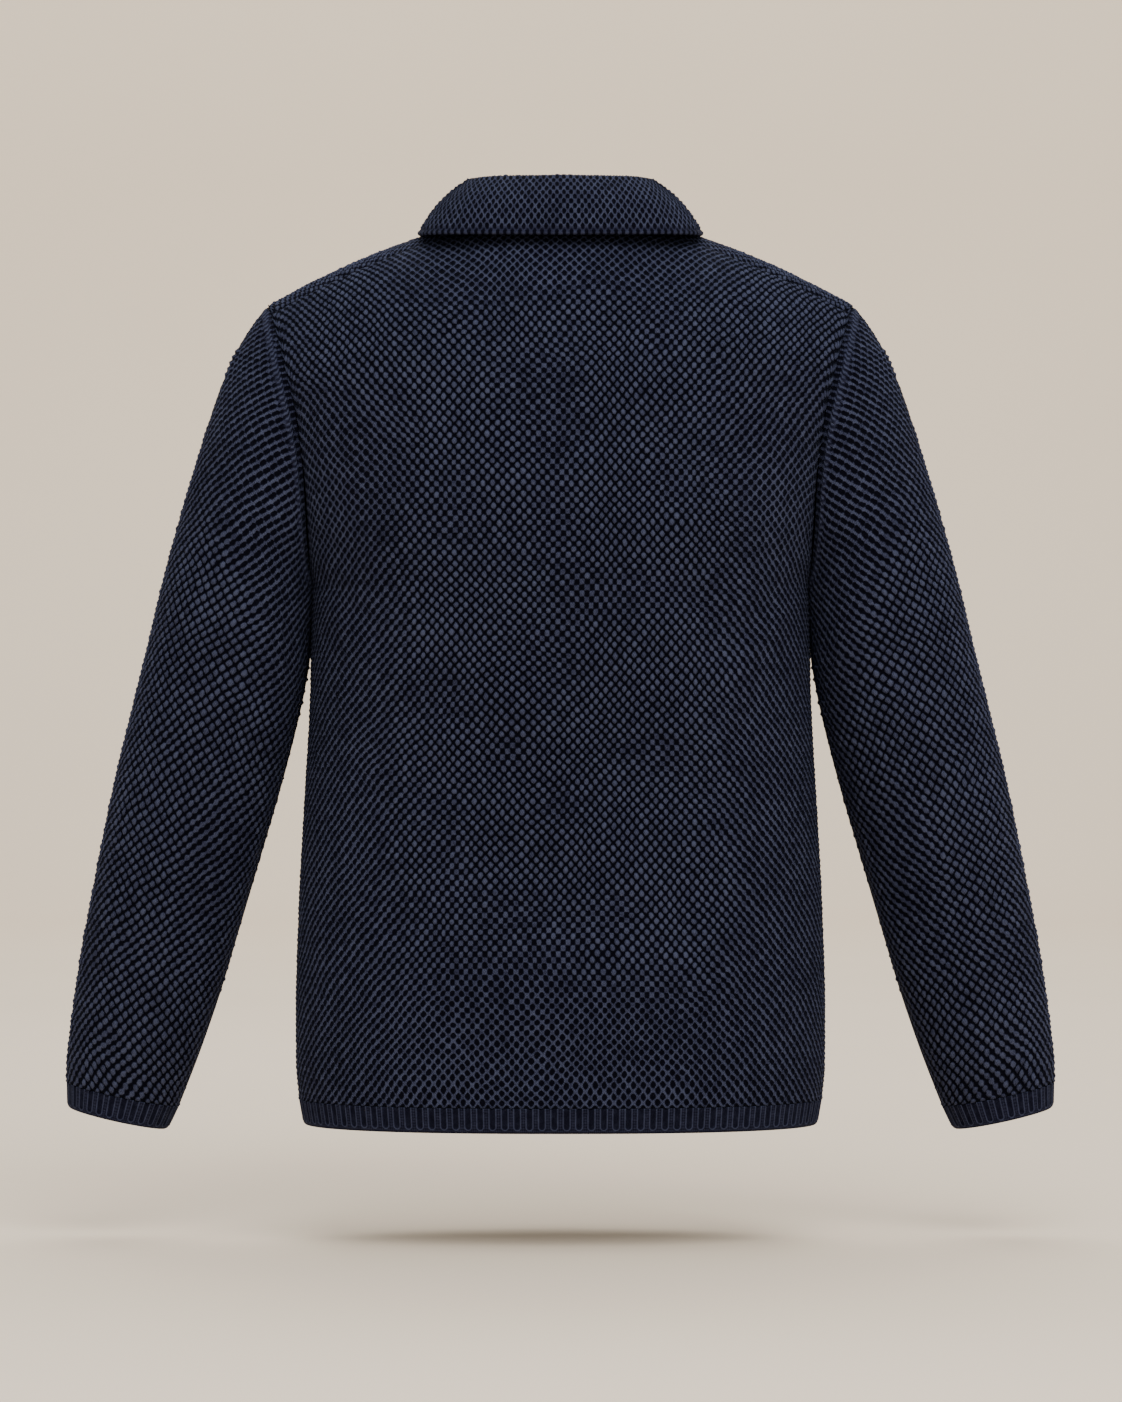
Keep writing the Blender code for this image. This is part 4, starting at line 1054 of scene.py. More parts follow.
def sleeve(name, tables, side):
    """One sleeve; the left one is the right one's mirror image.

    The chain is the plain raised strip of the linked seam. "along" is the distance along it.
    """
    plus, top_plus, low_v = sleeve_edges(tables, 1)
    minus, top_minus = sleeve_edges(tables, -1)[:2]

    def ceiling(at):
        return np.where(at >= 0, top_plus(np.abs(at)), top_minus(np.abs(at)))

    top_v = max(float(top_plus(np.array(0.0))), 0.0)
    u, v, inside = lay_grid(-minus.max(), plus.max(), top_v, -minus, plus, ceiling)
    rows = np.arange(len(tables["u"])) * STEP_V
    row_plus, row_minus = np.interp(v, rows, plus), np.interp(v, rows, minus)
    cut_u, cut_v = sleeve_cut(tables, 1)[:2]
    reach = np.interp(np.abs(look_up(tables, u, v)[0]), HALF_ROUND, cut_v) - v
    to_seam = np.where(v <= low_v, np.where(u > 0, row_plus, row_minus) - np.abs(u), EDGE_REACH)
    sewn = np.minimum(to_seam, reach)
    du, dv = drift(u, v, np.maximum(np.minimum(sewn, v), 0.0), 50)
    angle, up = look_up(tables, u + du, v + dv)
    row = np.maximum(CUFF_SECTION - up, 0.0)
    on_seam = (v <= low_v + 1e-6) & (u > 0) & (np.abs(u - row_plus) < 1e-6)
    on_other_side = (v <= low_v + 1e-6) & (u < 0) & (np.abs(u + row_minus) < 1e-6)
    angle = np.where(on_seam, math.pi, np.where(on_other_side, -math.pi, angle))
    points = sleeve_point(angle, row)
    normals = sleeve_normal(angle, row, points)
    net = uneven(sleeve_net(angle, v, reach), u, v, 32)
    lean = sleeve_lean(angle)
    lift = RELIEF * (knit_height(u, v, net, lean, 17) - 0.50) * sewn_ramp(sewn)
    chain = ramp(reach, CHAIN_WIDTH, CHAIN_WIDTH - 0.0010) * ramp(reach, 0.0004, 0.0012)
    lift = lift * (1.0 - chain) - SEWN_DIP * (1.0 - ramp(reach, 0.0002, 0.0020)) + sleeve_crease(angle, v)
    lift = lift - 0.0008 * np.exp(-((reach - CHAIN_WIDTH) / 0.0010) ** 2)
    cut_length = line_steps(np.column_stack([cut_u, cut_v]))
    along = np.interp(np.abs(angle), HALF_ROUND, cut_length)
    mirror = np.array([side, 1.0, 1.0])
    outer = (points + lift[..., None] * normals) * mirror
    inner = (points - WALL * normals) * mirror
    edge = np.clip(reach, 0.0, EDGE_REACH)
    values = {"net": net, "lean": lean, "edge": edge, "chain": chain, "along": along}
    return make_cloth(name, u, v, inside, outer, inner, values, seam=(-row_minus, on_seam), flip=side < 0)


sleeve_right = sleeve("knit_sleeve_right", tables_of_sleeve, 1.0)
sleeve_left = sleeve("knit_sleeve_left", tables_of_sleeve, -1.0)

# %% [markdown]
# ## Strips with their own rows
#
# Hems, cuffs and front bands are regular strips, so they need no cutting: a grid of outer points, a grid of
# inner points with the same columns and fewer rows, and rims between them.

# %% Strip helper
def strip(name, outer, inner, uv, closed=False, flip=False):
    """A closed wall from two grids with the same columns; uv belongs to the outer grid.

    A ring is closed on itself, and a strip gets a face of many corners at each end.
    """
    rows, columns = outer.shape[:2]
    low = inner.shape[0]
    here = np.arange(columns if closed else columns - 1)
    following = (here + 1) % columns
    inner_first = rows * columns
    skin = grid_quads(rows, columns, closed)
    under = (grid_quads(low, columns, closed) + inner_first)[:, ::-1]
    last, inner_last = (rows - 1) * columns, inner_first + (low - 1) * columns
    bottom = np.stack([here, inner_first + here, inner_first + following, following], axis=-1)
    top = np.stack([last + here, last + following, inner_last + following, inner_last + here], axis=-1)
    groups = [skin, under, bottom, top]
    if not closed:
        for column, forward in ((0, False), (columns - 1, True)):
            line = np.arange(rows) * columns + column
            back_line = inner_first + np.arange(low)[::-1] * columns + column
            end = np.concatenate([line, back_line])
            groups.append((end if forward else end[::-1])[None, :])
    if flip:
        groups = [group[:, ::-1] for group in groups]
    points = np.concatenate([outer.reshape(-1, 3), inner.reshape(-1, 3)])
    inner_uv = np.broadcast_to(uv[:1], (low,) + uv.shape[1:])
    all_uv = np.concatenate([uv.reshape(-1, 2), inner_uv.reshape(-1, 2)])
    outside = np.concatenate([np.ones(rows * columns), np.zeros(low * columns)])
    piece = set_mesh(name, points, groups, [all_uv[group] for group in groups], {"outside": outside})
    print(name, triangle_count(piece), "triangles")
    return piece


# %% [markdown]
# ## Ribbed hem and cuffs
#
# The rib is very narrow. Each repeat has a sunken channel with a thin raised loop round it, like a U that
# ends a little above the edge, and two or three fine columns of stitches beside it. The lowest 2 mm roll
# under. All of this is one height over two distances, so it is a sum of bells, ramps and cosines.

# %% Rib relief
RIB_REPEAT = 0.0093  # width of a rib repeat in the hem
RIB_CELLS = 12  # grid columns to a rib repeat
CHANNEL_HALF = 0.00245  # half width of the sunken channel
LOOP_END = 0.0026  # height of the loop's lowest point above the edge
RIB_ROWS = np.array([0.0, 0.35, 0.9, 1.6, 2.4, 3.1, 3.9, 4.7, 5.6, 6.6, 7.7, 8.8, 9.9, 11.0, 12.1, 13.2,
                     14.3, 15.4, 16.5, 17.6, 18.85]) / 1000.0


def rib_relief(phase, height, repeat):
    """Distance outwards from the rib tops.

    A sunken U, a raised loop round it, columns beside it, rungs, the roll of the edge and a neck over it.
    e is the distance outside the U's outline, two straight lines closed below by a half circle.
    """
    p = (phase - np.round(phase)) * repeat
    centre = LOOP_END + CHANNEL_HALF
    radius = np.where(height < centre, np.hypot(p, height - centre), np.abs(p))
    e = radius - CHANNEL_HALF
    sunk = -0.00060 * ramp(e, 0.0002, -0.0011)
    loop = 0.00030 * np.exp(-(e / 0.00055) ** 2)
    stitches = 0.00020 * np.cos(2 * math.pi * np.abs(p) / 0.00155) * ramp(e, 0.0006, 0.0012)
    rungs = 0.00018 * np.cos(2 * math.pi * height / 0.0022) * ramp(e, -0.0004, -0.0014)
    roll = -0.0010 * ramp(height, 0.0016, 0.0) ** 1.5
    neck = -0.00035 * np.exp(-((height - 0.0021) / 0.0007) ** 2)
    fade = ramp(height, 0.0012, 0.0026)
    return (sunk + loop + stitches + rungs) * fade + roll + neck


print("depth of the channel:", round(1000 * float(rib_relief(0.0, 0.012, RIB_REPEAT)), 2), "mm")

# %% Even spacing
def by_arc_length(points, count):
    """A polyline's points again, count of them at equal distances along it."""
    along = line_steps(points)
    wanted = np.linspace(0.0, along[-1], count)
    return np.stack([np.interp(wanted, along, points[:, axis]) for axis in range(points.shape[1])], axis=1)


def hem_outline(face, first_x, count):
    """Points (x, y) of the hem's section from first_x to the side seam, at equal distances."""
    angle = np.linspace(0.0, math.pi / 2, 4 * FINE)
    width = float(section_width(HEM_Z + HEM_BAND))
    depth = float(section_depth(HEM_Z + HEM_BAND, face > 0))
    share = np.sin(angle) ** (2.0 / SECTION_POWER)
    share = np.concatenate([[first_x / width], share[share * width > first_x + 1e-6]])
    profile = (1.0 - share ** SECTION_POWER) ** (1 / SECTION_POWER)
    outline = np.stack([share * width, face * depth * profile], 1)
    return by_arc_length(outline, count)


def rib_grid(columns, first_phase, repeat):
    """Height above the edge, relief and uv of a band's grid."""
    shape = (len(RIB_ROWS), columns)
    phase = np.broadcast_to(np.arange(columns) / RIB_CELLS + first_phase, shape)
    height = np.broadcast_to(RIB_ROWS[:, None], shape)
    return height, rib_relief(phase, height, repeat), np.stack([phase, height / RIB_REPEAT], axis=-1)


print("hem, middle to side:", line_steps(hem_outline(-1, 0.0, FINE))[-1].round(3), "m")

# %% Three hem pieces
def hem(name, face, start_x, side):
    """A ribbed band round the lower edge of one panel: its outline, tapered and moved out by the relief."""
    rough = hem_outline(face, start_x, FINE)
    length = line_steps(rough)[-1]
    repeats = round(length / RIB_REPEAT)
    outline = hem_outline(face, start_x, repeats * RIB_CELLS + 1)
    if side == 0:
        outline = np.concatenate([outline[:0:-1] * (-1.0, 1.0), outline])
    else:
        outline = outline * (side, 1.0)
    tangent = unit(np.gradient(outline, axis=0))
    outward = np.stack([tangent[:, 1], -tangent[:, 0]], axis=1)
    outward = turned_away(outward, outline)
    height, relief, uv = rib_grid(len(outline), 0.5, length / repeats)
    narrow = float(section_width(HEM_Z) - section_width(HEM_Z + HEM_BAND))

    def at(level, out):
        taper = narrow * (HEM_BAND - level) / HEM_BAND
        flat = outline + outward * (taper + out)[..., None]
        return np.concatenate([flat, np.full(flat.shape[:-1] + (1,), HEM_Z) + level[..., None]], axis=-1)

    def pull(grid):
        moved = grid.copy()
        for index, beside in ((0, 1), (-1, -2)):
            step = unit(grid[:, beside] - grid[:, index]) * np.array([1.0, 1.0, 0.0])
            moved[:, index] += SEAM_GAP / 2 * step
        return moved

    outer = pull(at(height, relief))
    levels = np.array([0.0, RIB_ROWS[-1]])[:, None] * np.ones(len(outline))
    inner = pull(at(levels, np.full(levels.shape, -RIB_WALL)))
    return strip(name, outer, inner, uv, flip=face * (side or 1) > 0)


hem_back = hem("rib_hem_back", -1, 0.0, 0)
hem_front_left = hem("rib_hem_front_left", 1, BAND_HALF_WIDTH, -1)
hem_front_right = hem("rib_hem_front_right", 1, BAND_HALF_WIDTH, 1)

# %% Cuffs
CUFF = (  # three sections with the sleeve's columns
    (0, 0.3779, -0.6522, 0.2919, -0.6704, 0.0390, 0.030),
    (1, 0.3776, -0.6679, 0.2994, -0.6856, 0.0368, 0.031),
    (2, 0.3768, -0.6714, 0.3014, -0.6884, 0.0362, 0.031),
)
CUFF_HEIGHTS = (0.0, 0.0156, 0.0190)  # how far each section is below the first
CUFF_RIB_REPEAT = 0.0086
FORWARD = np.array([0.0, 1.0, 0.0])


def cuff(name, side):
    """A ribbed ring below the sleeve; its rows follow the three cuff sections."""
    middle, half, onward, depth = section_at(np.array(0.0), CUFF)
    angle = np.linspace(-math.pi, math.pi, 4 * FINE)
    ellipse = np.column_stack([np.linalg.norm(half) * np.cos(angle), depth * np.sin(angle)])
    length = line_steps(ellipse)[-1]
    repeats = round(length / CUFF_RIB_REPEAT)
    count = repeats * RIB_CELLS
    even = by_arc_length(np.column_stack([ellipse, angle]), count + 1)[:-1, 2]
    relief, uv = rib_grid(count, 0.0, length / repeats)[1:]

    def ring(level, out):
        row = np.interp(CUFF_HEIGHTS[-1] - level, CUFF_HEIGHTS, [0.0, 1.0, 2.0])
        middle, half, onward, depth = section_at(row, CUFF)
        a = np.cos(even)[:, None] * half[:, None, :]
        b = (depth[:, None] * np.sin(even))[..., None] * FORWARD
        size = np.linalg.norm(half, axis=-1)[:, None]
        along = (half / size)[:, None, :] * (np.cos(even) * depth[:, None])[..., None]
        normal = unit(along + (np.sin(even) * size)[..., None] * FORWARD)
        return middle[:, None, :] + a + b + normal * out[..., None] + (SEAM_GAP / 2) * onward[:, None, :]

    mirror = np.array([side, 1.0, 1.0])
    outer = ring(RIB_ROWS, relief) * mirror
    inner = ring(np.array([0.0, 0.004, RIB_ROWS[-1]]), np.full((3, count), -RIB_WALL)) * mirror
    return strip(name, outer, inner, uv, closed=True, flip=side > 0)


cuff_left = cuff("rib_cuff_left", -1.0)
cuff_right = cuff("rib_cuff_right", 1.0)

# %% [markdown]
# ## Front bands
#
# Nothing of the front can be seen in the photograph. A cardigan of this kind closes with two narrow knitted
# bands, the wearer's left over the right, and plain buttons. The bands run in fine lengthwise ribs, and each
# button has a buttonhole under it.

# %% Bands
BAND_RIB = 0.0041  # width of a lengthwise rib
BAND_OVERLAP = 0.0035  # the upper band reaches this far past the lower one's left edge
BAND_LIFT = WALL + SEAM_GAP  # and lies this far over it
BUTTON_COUNT = 6
BUTTON_TOP_Z, BUTTON_BOTTOM_Z = -0.094, -0.655
BUTTON_HEIGHTS = np.linspace(BUTTON_TOP_Z, BUTTON_BOTTOM_Z, BUTTON_COUNT)
HOLE_HALF_LENGTH = 0.0085  # of a buttonhole


def band(name, x_low, x_high, lift, columns, rows, carved):
    """A strip of the front's surface between two distances from the middle, moved out by lift.

    Its ribs are cosines, its edge rolls back, and a carved band has a trough for each buttonhole.
    """
    x = np.linspace(x_low, x_high, columns)
    top = neck_turn(1, np.arcsin(np.abs(x) / NECK_HALF_WIDTH)) + SEAM_GAP / 2 / RIDGE_ROUND
    low = turn_at(x, HEM_Z)
    share = np.linspace(0.0, 1.0, rows)[:, None]
    w = low + (top - low) * share
    x = np.broadcast_to(x, w.shape)
    points = body_point(1, x, w)
    normals = body_normal(1, x, w)
    z = points[..., 2]
    to_edge = np.minimum(np.minimum(x - x_low, x_high - x), z - HEM_Z)
    ribs = 0.00022 * np.cos(2 * math.pi * x / BAND_RIB) * ramp(to_edge, 0.001, 0.003)
    roll = -0.0009 * ramp(to_edge, 0.0018, 0.0) ** 1.5
    out = ribs + roll
    if carved:
        for height in BUTTON_HEIGHTS:
            slit = np.hypot(np.maximum(np.abs(x) - HOLE_HALF_LENGTH, 0.0), z - height)
            out = out - 0.0012 * np.exp(-(slit / 0.0011) ** 2)
    outer = points + (lift + out)[..., None] * normals
    keep = np.unique(np.round(np.linspace(0, rows - 1, rows // 4)).astype(int))
    inner = (points + (lift - WALL) * normals)[keep]
    uv = np.stack([x / BAND_RIB, z / BAND_RIB], axis=-1)
    return strip(name, outer, inner, uv, flip=True)


under_edge = BAND_HALF_WIDTH - SEAM_GAP
band_right = band("rib_band_right", -under_edge, under_edge, 0.0, 19, 200, False)
band_left = band("rib_band_left", -BAND_HALF_WIDTH - BAND_OVERLAP, under_edge, BAND_LIFT, 41, 400, True)

# %% [markdown]
# ## Collar
#
# The collar is one double-width strip, linked on round the neck, standing up and folded over. Its section is
# a straight stand, a small arc and a fall that bows out, and it is swept round the neck edge. A table gives
# the section at shares of the way from the middle of the back to the front.

# %% Sections of the collar
COLLAR_WALL = 0.0032
COLLAR_FOLD_RADIUS = 0.0034
COLLAR_BOW = 0.0042  # how far the fall bows out between fold and edge
COLLAR_END_X = 0.004  # the ends stop this far from the middle of the front
COLLAR_SEAT = 0.0008  # height of the collar's edge over the neck edge
COLLAR_STATIONS = 6  # to a quarter of the neck
COLLAR_COLUMNS = ("share", "fold_z", "lean", "reach", "drop", "slide")
COLLAR = (
    (0.00, 0.0325, 0.0080, 0.0270, 0.0440, 0.000),
    (0.20, 0.0325, 0.0105, 0.0325, 0.0434, 0.000),
    (0.30, 0.0309, 0.0130, 0.0380, 0.0408, 0.000),
    (0.38, 0.0292, 0.0148, 0.0430, 0.0361, 0.000),
    (0.44, 0.0270, 0.0155, 0.0455, 0.0330, 0.000),
    (0.50, 0.0248, 0.0155, 0.0460, 0.0305, 0.000),
    (0.55, 0.0225, 0.0150, 0.0460, 0.0280, 0.000),
    (0.70, 0.0120, 0.0110, 0.0440, 0.0440, 0.000),
    (0.85, -0.0140, 0.0070, 0.0400, 0.0540, 0.006),
    (1.00, -0.0380, 0.0030, 0.0350, 0.0590, 0.032),
)
print("height at the back:", COLLAR[0][1] - NECK_BACK_Z, "m")

# %% The neck edge
def collar_stations():
    """Neck edge, upward and outward directions and share of the way, from the left end to the right end."""
    angles = np.radians(np.linspace(0.0, 90.0, COLLAR_STATIONS + 1))
    ends = np.arcsin([BAND_HALF_WIDTH / NECK_HALF_WIDTH, COLLAR_END_X / NECK_HALF_WIDTH])
    front = np.concatenate([angles[:1:-1][1:], ends])
    face = np.concatenate([np.full(len(angles), -1), np.full(len(front), 1)])
    angle = np.concatenate([angles, front])
    points, rising = [], []
    for which, a in zip(face, angle):
        turn = neck_turn(which, a)
        here = body_point(which, NECK_HALF_WIDTH * np.sin(a), turn)
        points.append(here)
        rising.append(body_point(which, NECK_HALF_WIDTH * np.sin(a), turn - 1e-4) - here)
    right, rise = np.array(points), unit(np.array(rising))
    mirror = np.array([-1.0, 1.0, 1.0])
    edge = np.concatenate([(right * mirror)[:0:-1], right])
    rise = np.concatenate([(rise * mirror)[:0:-1], rise])
    tangent = np.gradient(edge, axis=0) * (1.0, 1.0, 0.0)
    outward = turned_away(unit(np.cross(tangent, (0.0, 0.0, 1.0))), edge - edge.mean(axis=0))
    distance = line_steps(right)
    share = distance / distance[-1]
    share = np.concatenate([share[:0:-1], share])
    return edge, rise, outward, share


def through(values, at):
    """A smooth curve through rows of values at 0, 1, 2...: cubics with slopes from the neighbours."""
    values = values.reshape(len(values), -1)
    slope = np.gradient(values, axis=0)
    cell = np.clip(np.floor(at).astype(int), 0, len(values) - 2)
    t = (at - cell)[:, None]
    start = values[cell] * (1 + 2 * t) * (1 - t) ** 2 + slope[cell] * t * (1 - t) ** 2
    end = values[cell + 1] * t ** 2 * (3 - 2 * t) + slope[cell + 1] * t ** 2 * (t - 1)
    return start + end


print("neck edge:", line_steps(collar_stations()[0])[-1].round(3), "m")

# %% Middle line of the collar's cloth
STAND_POINTS, FOLD_POINTS, FALL_POINTS = 19, 12, 29


def collar_middle(stand, lean, reach, drop, count):
    """Middle line of the cloth for many sections at once, as (outward, up), with how far it slides.

    The stand is straight, the fold an arc of the fold's radius, and the fall bows out by a half sine.
    """
    r = COLLAR_FOLD_RADIUS
    centre = np.stack([-lean + r, stand - r], axis=-1)
    edge = np.stack([-lean + reach, stand - drop], axis=-1)
    slope = np.arctan2(edge[:, 0] - centre[:, 0], centre[:, 1] - edge[:, 1])
    share = np.linspace(0.0, 1.0, FOLD_POINTS)[None, :]
    angle = math.pi + (slope[:, None] - math.pi) * share
    arc = centre[:, None, :] + r * np.stack([np.cos(angle), np.sin(angle)], axis=-1)
    up = np.linspace(0.0, 1.0, STAND_POINTS + 1)[None, :-1, None]
    standing = arc[:, :1] * up
    down = np.linspace(0.0, 1.0, FALL_POINTS + 1)[None, 1:, None]
    out = np.stack([np.cos(slope), np.sin(slope)], axis=-1)[:, None, :]
    falling = arc[:, -1:] + (edge[:, None, :] - arc[:, -1:]) * down
    falling = falling + COLLAR_BOW * np.sin(math.pi * down) * out
    slide = np.concatenate([np.zeros(STAND_POINTS + FOLD_POINTS), down.ravel()])
    line = np.concatenate([standing, arc, falling], axis=1)
    line = np.concatenate([line, np.broadcast_to(slide[None, :, None], line.shape[:2] + (1,))], axis=-1)
    length = np.linalg.norm(np.diff(line[..., :2], axis=1), axis=-1)
    length = np.concatenate([np.zeros((len(line), 1)), np.cumsum(length, axis=1)], axis=1)
    wanted = np.linspace(0.0, 1.0, count)
    even = [[np.interp(wanted * along[-1], along, row[:, axis]) for axis in range(3)]
            for along, row in zip(length, line)]
    return np.array(even).transpose(0, 2, 1), length[:, -1]


print("rows of points:", STAND_POINTS + FOLD_POINTS + FALL_POINTS)

# %% The collar
COLLAR_STITCH = 0.0058  # the collar's stitches are narrower
COLLAR_ROWS = 49
FALL_OUT = 0.030  # the stitches are counted along a line this far outside the neck edge
ROLL = ((0.0016, 0.0010), (0.0011, 0.0018), (0.0, 0.0022), (-0.0011, 0.0015))  # (across, past) the edge
GROOVE = 0.0016  # from the edge of the fall to the groove beside its roll


def collar_caps(columns, count):
    """Triangles that close both ends: a fan between the shown row of points and the hidden one."""
    caps = []
    shown = COLLAR_ROWS + len(ROLL)
    pairs = np.round(np.linspace(0, count - shown - 1, shown - 1)).astype(int)
    for station, forward in ((0, True), (columns, False)):
        first = station * count
        a = first + np.arange(shown - 1)
        b = first + count - 1 - pairs
        tri = [[a[k], b[k], a[k + 1]] for k in range(shown - 2)]
        tri += [[a[k + 1], b[k], b[k + 1]] for k in range(shown - 2) if b[k] != b[k + 1]]
        tri.append([a[-1], b[-1], first + shown - 1])
        caps.append(np.array(tri) if forward else np.array(tri)[:, ::-1])
    return caps


def collar():
    """Stand and fall in one folded piece: relief on the visible side, a roll, and a plain hidden side.

    Each section is placed at its base on the neck edge: outward along out_way and upward along Z.
    """
    edge, rise, outward, share = collar_stations()
    fine = np.linspace(0.0, len(edge) - 1.0, 2001)
    fall_track = through(edge, fine) + FALL_OUT * unit(through(outward, fine))
    along = line_steps(fall_track)
    columns = 2 * CELLS * round(along[-1] / COLLAR_STITCH / 2)
    order = np.arange(columns + 1)
    at = np.interp(np.linspace(0.0, along[-1], columns + 1), along, fine)
    base, up_way = through(edge, at), unit(through(rise, at))
    out_way = unit(through(outward, at) * (1.0, 1.0, 0.0))
    along_way = unit(np.gradient(base, axis=0) * (1.0, 1.0, 0.0))
    part = np.clip(np.interp(at, np.arange(len(edge), dtype=float), share), 0.0, 1.0)
    base = base + COLLAR_SEAT * up_way - out_way * COLLAR_WALL / 2
    value = {name: smooth(COLLAR, COLLAR_COLUMNS, name, part) for name in COLLAR_COLUMNS[1:]}
    stand = value["fold_z"] - base[:, 2]
    line, length = collar_middle(stand, value["lean"], value["reach"], value["drop"], COLLAR_ROWS)
    tangent = unit(np.gradient(line[..., :2], axis=1))
    normal = np.stack([tangent[..., 1], -tangent[..., 0]], axis=-1)
    s = np.linspace(0.0, 1.0, COLLAR_ROWS)[None, :] * length[:, None]
    u = ((order - columns / 2) * STEP_U)[:, None] + 0 * s
    v = (np.arange(COLLAR_ROWS)[::-1] * STEP_V)[None, :] + 0 * s
    to_fall = length[:, None] - s
    ends = np.minimum(order, columns - order)[:, None] * STEP_U
    near = np.minimum(np.minimum(to_fall, s), ends)
    net = uneven(1.0 - 0.25 * ramp(soft_noise(u + 3.0, v, 0.03, 71), 0.65, 0.9), u, v, 72)
    height = knit_height(u, v, net, 0.0, 18, 0.85, 0.30)
    lift = RELIEF * 0.8 * (height - 0.50) * ramp(near, 0.0010, 0.0035)
    lift = lift - 0.0009 * np.exp(-((to_fall - GROOVE) / 0.0009) ** 2)
    way_back = np.where(base[:, :1] >= 0, -1.0, 1.0)

    def place(flat, slide):
        row = base[:, None, :] + flat[..., :1] * out_way[:, None, :]
        row = row + flat[..., 1:2] * np.array([0.0, 0.0, 1.0])
        return row + (slide * value["slide"][:, None] * way_back)[..., None] * along_way[:, None, :]

    visible = line[..., :2] - normal * (COLLAR_WALL / 2 + lift)[..., None]
    roll = [line[:, -1:, :2] - normal[:, -1:] * aside + tangent[:, -1:] * past for aside, past in ROLL]
    hidden = (line[..., :2] + normal * COLLAR_WALL / 2)[:, ::-CELLS]
    slide = np.concatenate([line[..., 2], np.ones((columns + 1, len(ROLL))), line[:, ::-CELLS, 2]], axis=1)
    rows = place(np.concatenate([visible] + roll + [hidden], axis=1), slide)
    count = rows.shape[1]
    groups = [grid_quads(columns + 1, count, closed=True)] + collar_caps(columns, count)
    extra = np.zeros((columns + 1, count - COLLAR_ROWS))
    flat_u = np.repeat(u[:, :1], count, axis=1) / STITCH_U
    flat_v = np.concatenate([v, extra], axis=1) / STITCH_V
    uv = np.stack([flat_u, flat_v], axis=-1).reshape(-1, 2)
    # Along the groove beside the roll, the knit's pattern gives way to a plain dark tone: painted shade in the
    # groove. The roll keeps most of its pattern.
    lattice = 1.0 - 0.75 * np.exp(-((to_fall - GROOVE) / 0.0012) ** 2)
    on_roll = np.full((columns + 1, len(ROLL)), 0.7)
    values = {
        "net": np.concatenate([net, extra], axis=1).ravel(),
        "edge": np.concatenate([near, extra + 0.003], axis=1).ravel(),
        "outside": np.concatenate([lattice, on_roll, extra[:, len(ROLL):]], axis=1).ravel(),
    }
    piece = set_mesh("knit_collar", rows.reshape(-1, 3), groups, [uv[group] for group in groups], values)
    print("knit_collar", triangle_count(piece), "triangles")
    return piece


knit_collar = collar()

# %% [markdown]
# ## Buttons
#
# The buttons are on the hidden front, so they are plain: turned discs with a raised rim, a shallow well and
# four holes, sewn on with crossed thread. One is cut with its holes, and all six are made from it.

# %% Turned and drawn shapes
def rounded_line(points, radius, steps):
    """A polyline with each inner corner replaced by the curve (1 - t)^2 a + 2 t (1 - t) corner + t^2 b."""
    points = np.array(points, dtype=float)
    line = [points[0]]
    for before, corner, after in zip(points[:-2], points[1:-1], points[2:]):
        a = corner + unit(before - corner) * min(radius, 0.45 * np.linalg.norm(before - corner))
        b = corner + unit(after - corner) * min(radius, 0.45 * np.linalg.norm(after - corner))
        t = np.linspace(0.0, 1.0, steps)[:, None]
        line.extend((1 - t) ** 2 * a + 2 * t * (1 - t) * corner + t ** 2 * b)
    line.append(points[-1])
    return np.array(line)


def lathe(profile, segments):
    """Points and faces of a profile (radius, height) turned about Z; its ends lie on the axis."""
    turn = np.linspace(0.0, 2 * math.pi, segments, endpoint=False)
    r, h = profile[1:-1, 0], profile[1:-1, 1]
    ring = np.stack([r[:, None] * np.cos(turn), r[:, None] * np.sin(turn), h[:, None] + 0 * turn], axis=-1)
    points = np.concatenate([ring.reshape(-1, 3), [[0, 0, profile[0, 1]], [0, 0, profile[-1, 1]]]])
    order = np.arange(segments)
    after = (order + 1) % segments
    quads = grid_quads(len(r), segments, closed=True)[:, [0, 3, 2, 1]]
    low = (len(r) - 1) * segments
    top = np.stack([order, after, np.full(segments, len(points) - 2)], -1)
    bottom = np.stack([low + after, low + order, np.full(segments, len(points) - 1)], -1)
    return points, [quads, top, bottom]


def tube(path, radius, sides):
    """A round thread: path + radius (cos t across + sin t other), closed at both ends."""
    path = np.array(path)
    tangent = unit(np.gradient(path, axis=0))
    across = unit(np.cross(tangent, (0.3, 0.9, 0.31)))
    other = np.cross(tangent, across)
    turn = np.linspace(0.0, 2 * math.pi, sides, endpoint=False)[None, :, None]
    ring = path[:, None, :] + radius * (np.cos(turn) * across[:, None, :] + np.sin(turn) * other[:, None, :])
    end = np.arange(sides)[None, :]
    faces = [grid_quads(len(path), sides, closed=True), end[:, ::-1], end + (len(path) - 1) * sides]
    return ring.reshape(-1, 3), faces


print("a rounded corner:", len(rounded_line([(0, 0), (1, 0), (1, 1)], 0.1, 4)), "points")

# %% Cut a button
BUTTON_RADIUS = 0.0100
BUTTON_THICKNESS = 0.0034
HOLE_RADIUS = 0.00085
HOLE_OFFSET = 0.00165  # from the middle, along both axes
BUTTON_PROFILE = (  # shares of the radius and of the thickness, from the well round to the back
    (0.0, 0.72), (0.58, 0.74), (0.70, 1.0), (0.90, 1.0),
    (1.0, 0.66), (0.94, 0.16), (0.80, 0.0), (0.0, 0.0),
)


def join_parts(parts):
    """Points and faces of several parts as one."""
    points, faces, first = [], [], 0
    for part_points, part_faces in parts:
        points.append(part_points)
        faces.extend([face + first for face in part_faces])
        first += len(part_points)
    return np.concatenate(points), faces


